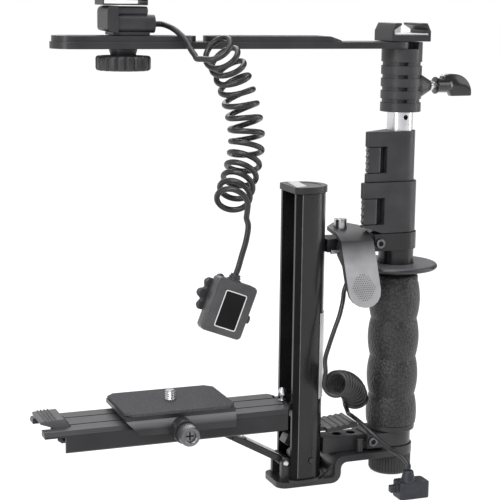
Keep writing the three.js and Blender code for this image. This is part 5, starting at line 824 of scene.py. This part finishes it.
@dataclass
class Arm(Assembly):
    """The receiver with its wing screw, the slotted arm, the shoe and the cord head."""

    body: str = "arm"
    wing_axis: Point = (0, 0, 243.5)
    wheel: Stand = Stand("-y", (-4, 0, 3), on_block)
    wheel_lobes: int = 10
    panel: Stand = Stand("-y", (0.67, 0, -0.84), on_block)
    head_x: float = -175
    head_lobes: int = 18

    def wing(self) -> None:
        """Makes the wing screw: a bright shank, a gloss stem and a blade with a round back."""
        stand = Stand("x", self.wing_axis)
        shank = [(0, 8.3), (2.2, 8.3), (2.2, 19.2), (3.1, 19.4), (3.1, 20.6), (2.5, 20.9), (2.5, 22.65), (0, 22.65)]
        self.keep(turned("wing_shank", shank, stand), CHROME, nodes=("wing_knob",))
        stem = [(0, 22.7), (4.6, 22.7), (5.2, 23), (5.2, 23.8), (4.6, 24.1), (4.4, 25), (4.5, 31), (3.9, 33.4),
                (2.6, 34.8), (0, 35)]
        self.keep(turned("wing_stem", stem, stand), ABS_GLOSS, body="wing")
        bend = np.radians(np.linspace(88, 2, 12))
        back = np.column_stack([35.6 + 12 * np.cos(bend), -5.1 + 12 * np.sin(bend)])
        start = np.array([(27, 0), (26.9, 2.6), (27.6, 5.4), (29, 6.7), (32, 6.9)])
        under = np.array([(47.6, -5.8), (47, -6.6), (40.5, -6.6), (34, -6.6), (33, -5), (31.6, -2.2), (29.6, -1)])
        side = np.vstack([start, back, under]) + [0, self.wing_axis[2]]
        middle = side.mean(axis=0)
        t = np.linspace(0, np.pi / 2, 5)
        share = 1 - 0.11 * (1 - np.concatenate([np.sin(t), np.cos(t)]))
        level = np.concatenate([-1.9 - 1.2 * np.cos(t), 1.9 + 1.2 * np.sin(t)])
        loops = np.stack([raised(middle + (side - middle) * s, y) for s, y in zip(share, level)])
        self.keep(smooth(stacked("wing_paddle", loops, Stand("-y")), 50), ABS_GLOSS, body="wing")

    def camera_block(self) -> None:
        """Makes the flash cord's camera block: its case, ringed neck, foot and bare framed panel."""
        stand = Stand("-y", place=on_block)
        case = pillow("block_case", (25, 31), 2.6, (-4.5, 4.15), (1.0, 1.3), stand)
        self.keep(case, ABS_CASE, nodes=("ttl_block",))
        lid = pillow("block_lid", (20.8, 27), 1.4, (3.9, 4.4), (0.1, 0.35), stand)
        panel = slab("block_panel", rounded(13.8, 21.8, 1.5), (4.2, 4.44), self.panel)
        edges = inset_loops((13.4, 21.4), 1.3, [(0, 4.3), (0, 4.49), (0.62, 4.49), (0.62, 4.3)])
        line = stacked("block_panel_frame", edges, self.panel, closed=True)
        ring = [(0, 15), (3.9, 15), (4.1, 15.8), (3.7, 16.3), (3.1, 16.4), (3.1, 16.8), (3.4, 17), (3.4, 17.6),
                (2.8, 17.8), (2.8, 18.2), (2.9, 18.4), (2.8, 19.0), (0, 19.1)]
        neck = turned("block_neck", ring, Stand("z", (-2, 0, 0), on_block), 48)
        press = [(0, -1.76), (1.9, -1.76), (2.3, -1.56), (2.3, 1.56), (1.9, 1.76), (0, 1.76)]
        button = turned("block_button", press, Stand("x", (12.6, -0.6, -3), on_block), 40)
        stalk = turned("block_stalk", [(0, -8.6), (4, -8.6), (4, -4), (0, -4)], self.wheel, 48)
        foot = pillow("block_foot", (18.4, 18.4), 0.8, (-10.5, -8.5), (0.4, 0.4), self.wheel)
        for obj, finish in ((lid, ABS_CASE), (panel, PANEL_GLOSS), (line, LABEL_VINYL), (neck, ABS_BLACK),
                            (button, ABS_BLACK), (stalk, BLACK_OXIDE), (foot, BLACK_OXIDE)):
            self.keep(obj, finish, body="cord_head", slot="label" if obj is line else None)

    def clamp_wheel(self) -> None:
        """Makes the block's clamp wheel: a disc whose edge stands in n lobes, R - d (0.5 - 0.5 cos na)^1.6."""
        profile = [(4.3, -4.8), (10.5, -4.8), (12.9, -4.9), (13.8, -5.6), (14, -6.5), (13.8, -7.4), (12.9, -8.1),
                   (10.5, -8.2), (4.3, -8.2), (4.3, -4.8)]
        rim = turned("block_wheel_disc", profile, self.wheel, 160, 12,
                     lambda _, angle: 2.6 * (0.5 - 0.5 * np.cos(self.wheel_lobes * angle)) ** 1.6)
        self.keep(rim, ABS_BLACK, nodes=("block_wheel",))

    def head_knob(self) -> None:
        """Makes the head's clamp knob: n broad lobes with narrow grooves, R - 1.1 |cos(na / 2)|^9, and a cup."""
        profile = [(0, 254.6), (10, 254.6), (12.6, 254), (14.3, 254), (15.2, 254.5), (15.6, 255.4), (15.6, 260.8),
                   (15.3, 261.7), (14.6, 262.2), (13.2, 262.2), (12.7, 261.7), (12.6, 256.6), (9.2, 256.4),
                   (7.6, 257.4), (7.2, 260), (7.3, 263.4), (7.9, 265), (7.9, 265.9), (3.5, 265.9), (3.5, 258.9),
                   (0, 258.9)]
        obj = turned("head_knob_drum", profile, Stand("z", (self.head_x, 0, 0)), 16 * self.head_lobes, 14,
                     lambda _, angle: 1.1 * np.abs(np.cos(self.head_lobes * angle / 2)) ** 9)
        self.keep(obj, ABS_BLACK, nodes=("head_knob",))

    def make(self) -> None:
        """Dresses the arm's nodes and makes its drawn pieces."""
        self.dress("receiver", ABS_BLACK, 0.25)
        self.wing()
        self.dress_all(("flash_arm", ANODISED_DARK, 0.4), ("arm_bolt", NICKEL, 0.2))
        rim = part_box("cold_shoe")[1].z / MM
        self.two_tone(self.dress("cold_shoe", ANODISED_DARK, 0.3), SATIN_NICKEL,
                      lambda middle, normal: normal.z > 0.9 and middle.z < rim - 0.8)
        self.dress_all(("shoe_spring", SATIN_NICKEL, 0.1), ("head_body", ABS_BLACK, 1.1),
                       ("head_rails", ABS_BLACK, 0.4), ("head_gland", ABS_BLACK, 0.3))
        self.head_knob()
        self.camera_block()
        self.clamp_wheel()


# Camera, floor and light

# The camera's fit to the photograph: place in metres, yaw, pitch and roll in degrees, and focal length in pixels
CAMERA_PLACE = (-0.39588, -0.777218, 0.297151)
CAMERA_ANGLES = (21.0317, 10.2201, -0.73995)
FOCAL_PIXELS, PICTURE_PIXELS, SENSOR_MM = 1418.608, 500, 36
# The paper's half width and drop below the object, in metres, the share of its white that glows, and how brightly
FLOOR_HALF, FLOOR_DROP, FLOOR_SHARE, FLOOR_GLOW = 6, 0.0001, 0.8, 1.2
# The surround's light on matte surfaces, and the fall of its mirror image from left to right
SURROUND = 0.35
FALL_FROM, FALL_TO = (-0.8, 0.75), (1.0, 0.12)
# Each lamp's name, place in metres, watts, width and height in metres; all look at one point
LAMPS = (
    ("key_softbox", (-0.6, -0.7, 1.1), 8.0, 0.5, 0.5),
    ("top_softbox", (0, 0.1, 1.4), 7.0, 0.9, 0.9),
    ("fill_softbox", (0.75, -0.6, 0.55), 2.5, 0.6, 0.6),
    ("back_softbox", (0.1, 0.8, 0.9), 5.0, 0.7, 0.7),
    ("left_strip", (-0.9, -0.55, 0.3), 3.0, 0.14, 1.0),
    ("right_strip", (0.95, -0.2, 0.3), 3.0, 0.14, 1.0),
)
LAMP_AIM = (-0.08, 0, 0.15)


def photo_camera() -> None:
    """Puts the camera where the photograph was taken: 872 mm off, 21 degrees to the left and 10 above."""
    yaw, pitch, roll = np.radians(CAMERA_ANGLES)
    ahead = np.array([np.sin(yaw) * np.cos(pitch), np.cos(yaw) * np.cos(pitch), -np.sin(pitch)])
    right = np.array([np.cos(yaw), -np.sin(yaw), 0])
    down = np.cross(ahead, right)
    right, down = np.cos(roll) * right + np.sin(roll) * down, -np.sin(roll) * right + np.cos(roll) * down
    data = bpy.data.cameras.new("photo_camera")
    data.lens, data.sensor_width, data.clip_end = SENSOR_MM * FOCAL_PIXELS / PICTURE_PIXELS, SENSOR_MM, 20
    camera = linked("photo_camera", data)
    turn = Matrix(np.column_stack([right, -down, -ahead]).tolist()).to_4x4()
    camera.matrix_world = Matrix.Translation(CAMERA_PLACE) @ turn
    bpy.context.scene.camera = camera


def directly_seen(tree: Tree) -> tuple[Socket, Socket]:
    """Adds a light path and returns two shares: what the camera sees, and what it or a gloss sees."""
    path = add_node(tree, "ShaderNodeLightPath").outputs
    either = add_node(tree, "ShaderNodeMath", {"operation": "MAXIMUM"},
                      {0: path["Is Camera Ray"], 1: path["Is Glossy Ray"]})
    return path["Is Camera Ray"], either.outputs[0]


def joined(tree: Tree, share: Socket, first: bpy.types.Node, second: bpy.types.Node, output: str) -> None:
    """Mixes two shaders by a share and sends them to an output node of a kind."""
    both = add_node(tree, "ShaderNodeMixShader", None, {0: share, 1: first.outputs[0], 2: second.outputs[0]})
    add_node(tree, output, None, {"Surface": both.outputs[0]})


def paper() -> None:
    """Lays a pale floor that keeps a faint shadow."""
    corners = FLOOR_HALF * np.array([[-1, -1, 0], [1, -1, 0], [1, 1, 0], [-1, 1, 0]]) - [0, 0, FLOOR_DROP]
    floor = mesh_object("floor", corners, [[0, 1, 2, 3]])
    material = bpy.data.materials.new("paper_sweep")
    material.use_nodes = True
    tree = material.node_tree
    tree.nodes.clear()
    _, seen = directly_seen(tree)
    share = add_node(tree, "ShaderNodeMath", {"operation": "MULTIPLY", 1: FLOOR_SHARE}, {0: seen})
    matte = add_node(tree, "ShaderNodeBsdfDiffuse", {"Color": linear(0xF4F4F4)})
    bright = add_node(tree, "ShaderNodeEmission", {"Color": (1, 1, 1, 1), "Strength": FLOOR_GLOW})
    joined(tree, share.outputs[0], matte, bright, "ShaderNodeOutputMaterial")
    floor.data.materials.append(material)


def surround() -> None:
    """Makes the white surround: bright to the camera, and in a gloss fading from left to right."""
    world = bpy.data.worlds.new("surround")
    bpy.context.scene.world = world
    world.use_nodes = True
    tree = world.node_tree
    tree.nodes.clear()
    camera, seen = directly_seen(tree)
    dim = add_node(tree, "ShaderNodeBackground", {"Color": (1, 1, 1, 1), "Strength": SURROUND})
    way = add_node(tree, "ShaderNodeTexCoord").outputs["Generated"]
    aim = add_node(tree, "ShaderNodeSeparateXYZ", None, {0: way}).outputs["X"]
    mirrored = add_node(tree, "ShaderNodeMath", {"operation": "MAXIMUM"},
                        {0: ranged(tree, aim, FALL_FROM, FALL_TO), 1: camera})
    white = add_node(tree, "ShaderNodeBackground", {"Color": (1, 1, 1, 1)}, {"Strength": mirrored.outputs[0]})
    joined(tree, seen, dim, white, "ShaderNodeOutputWorld")


def lamps() -> None:
    """Hangs the soft lamps and the two upright strips, all turned to one point."""
    for name, place, watts, width, height in LAMPS:
        data = bpy.data.lights.new(name, "AREA")
        data.energy, data.size = watts, width
        if height != width:
            data.shape, data.size_y = "RECTANGLE", height
        lamp = linked(name, data)
        lamp.location = place
        lamp.rotation_euler = (Vector(LAMP_AIM) - Vector(place)).to_track_quat("-Z", "Y").to_euler()


def main() -> None:
    """Builds the camera, the sub-assemblies and the studio, in that order."""
    logging.basicConfig(level=logging.INFO, format="%(message)s")
    photo_camera()
    cords = Cords()
    for assembly in (cords, BaseAndPost(), Column(), Tray(), Trigger(), Arm()):
        assembly.make()
        log.info("%s: %s", type(assembly).__name__, ", ".join(assembly.made))
    on_flash = ["block_case", "block_lid", "block_panel", "block_panel_frame", "block_neck", "block_button",
                "block_stalk", "block_foot", "block_wheel_disc"]
    cords.declare(FLASH_CORD, "connector", "hanging", on_flash)
    cords.declare(RELEASE_CORD, "plug", "loose", ["release_plug_shell"])
    bpy.context.scene.view_settings.view_transform = "Standard"
    paper()
    surround()
    lamps()


if __name__ == "__main__":
    main()
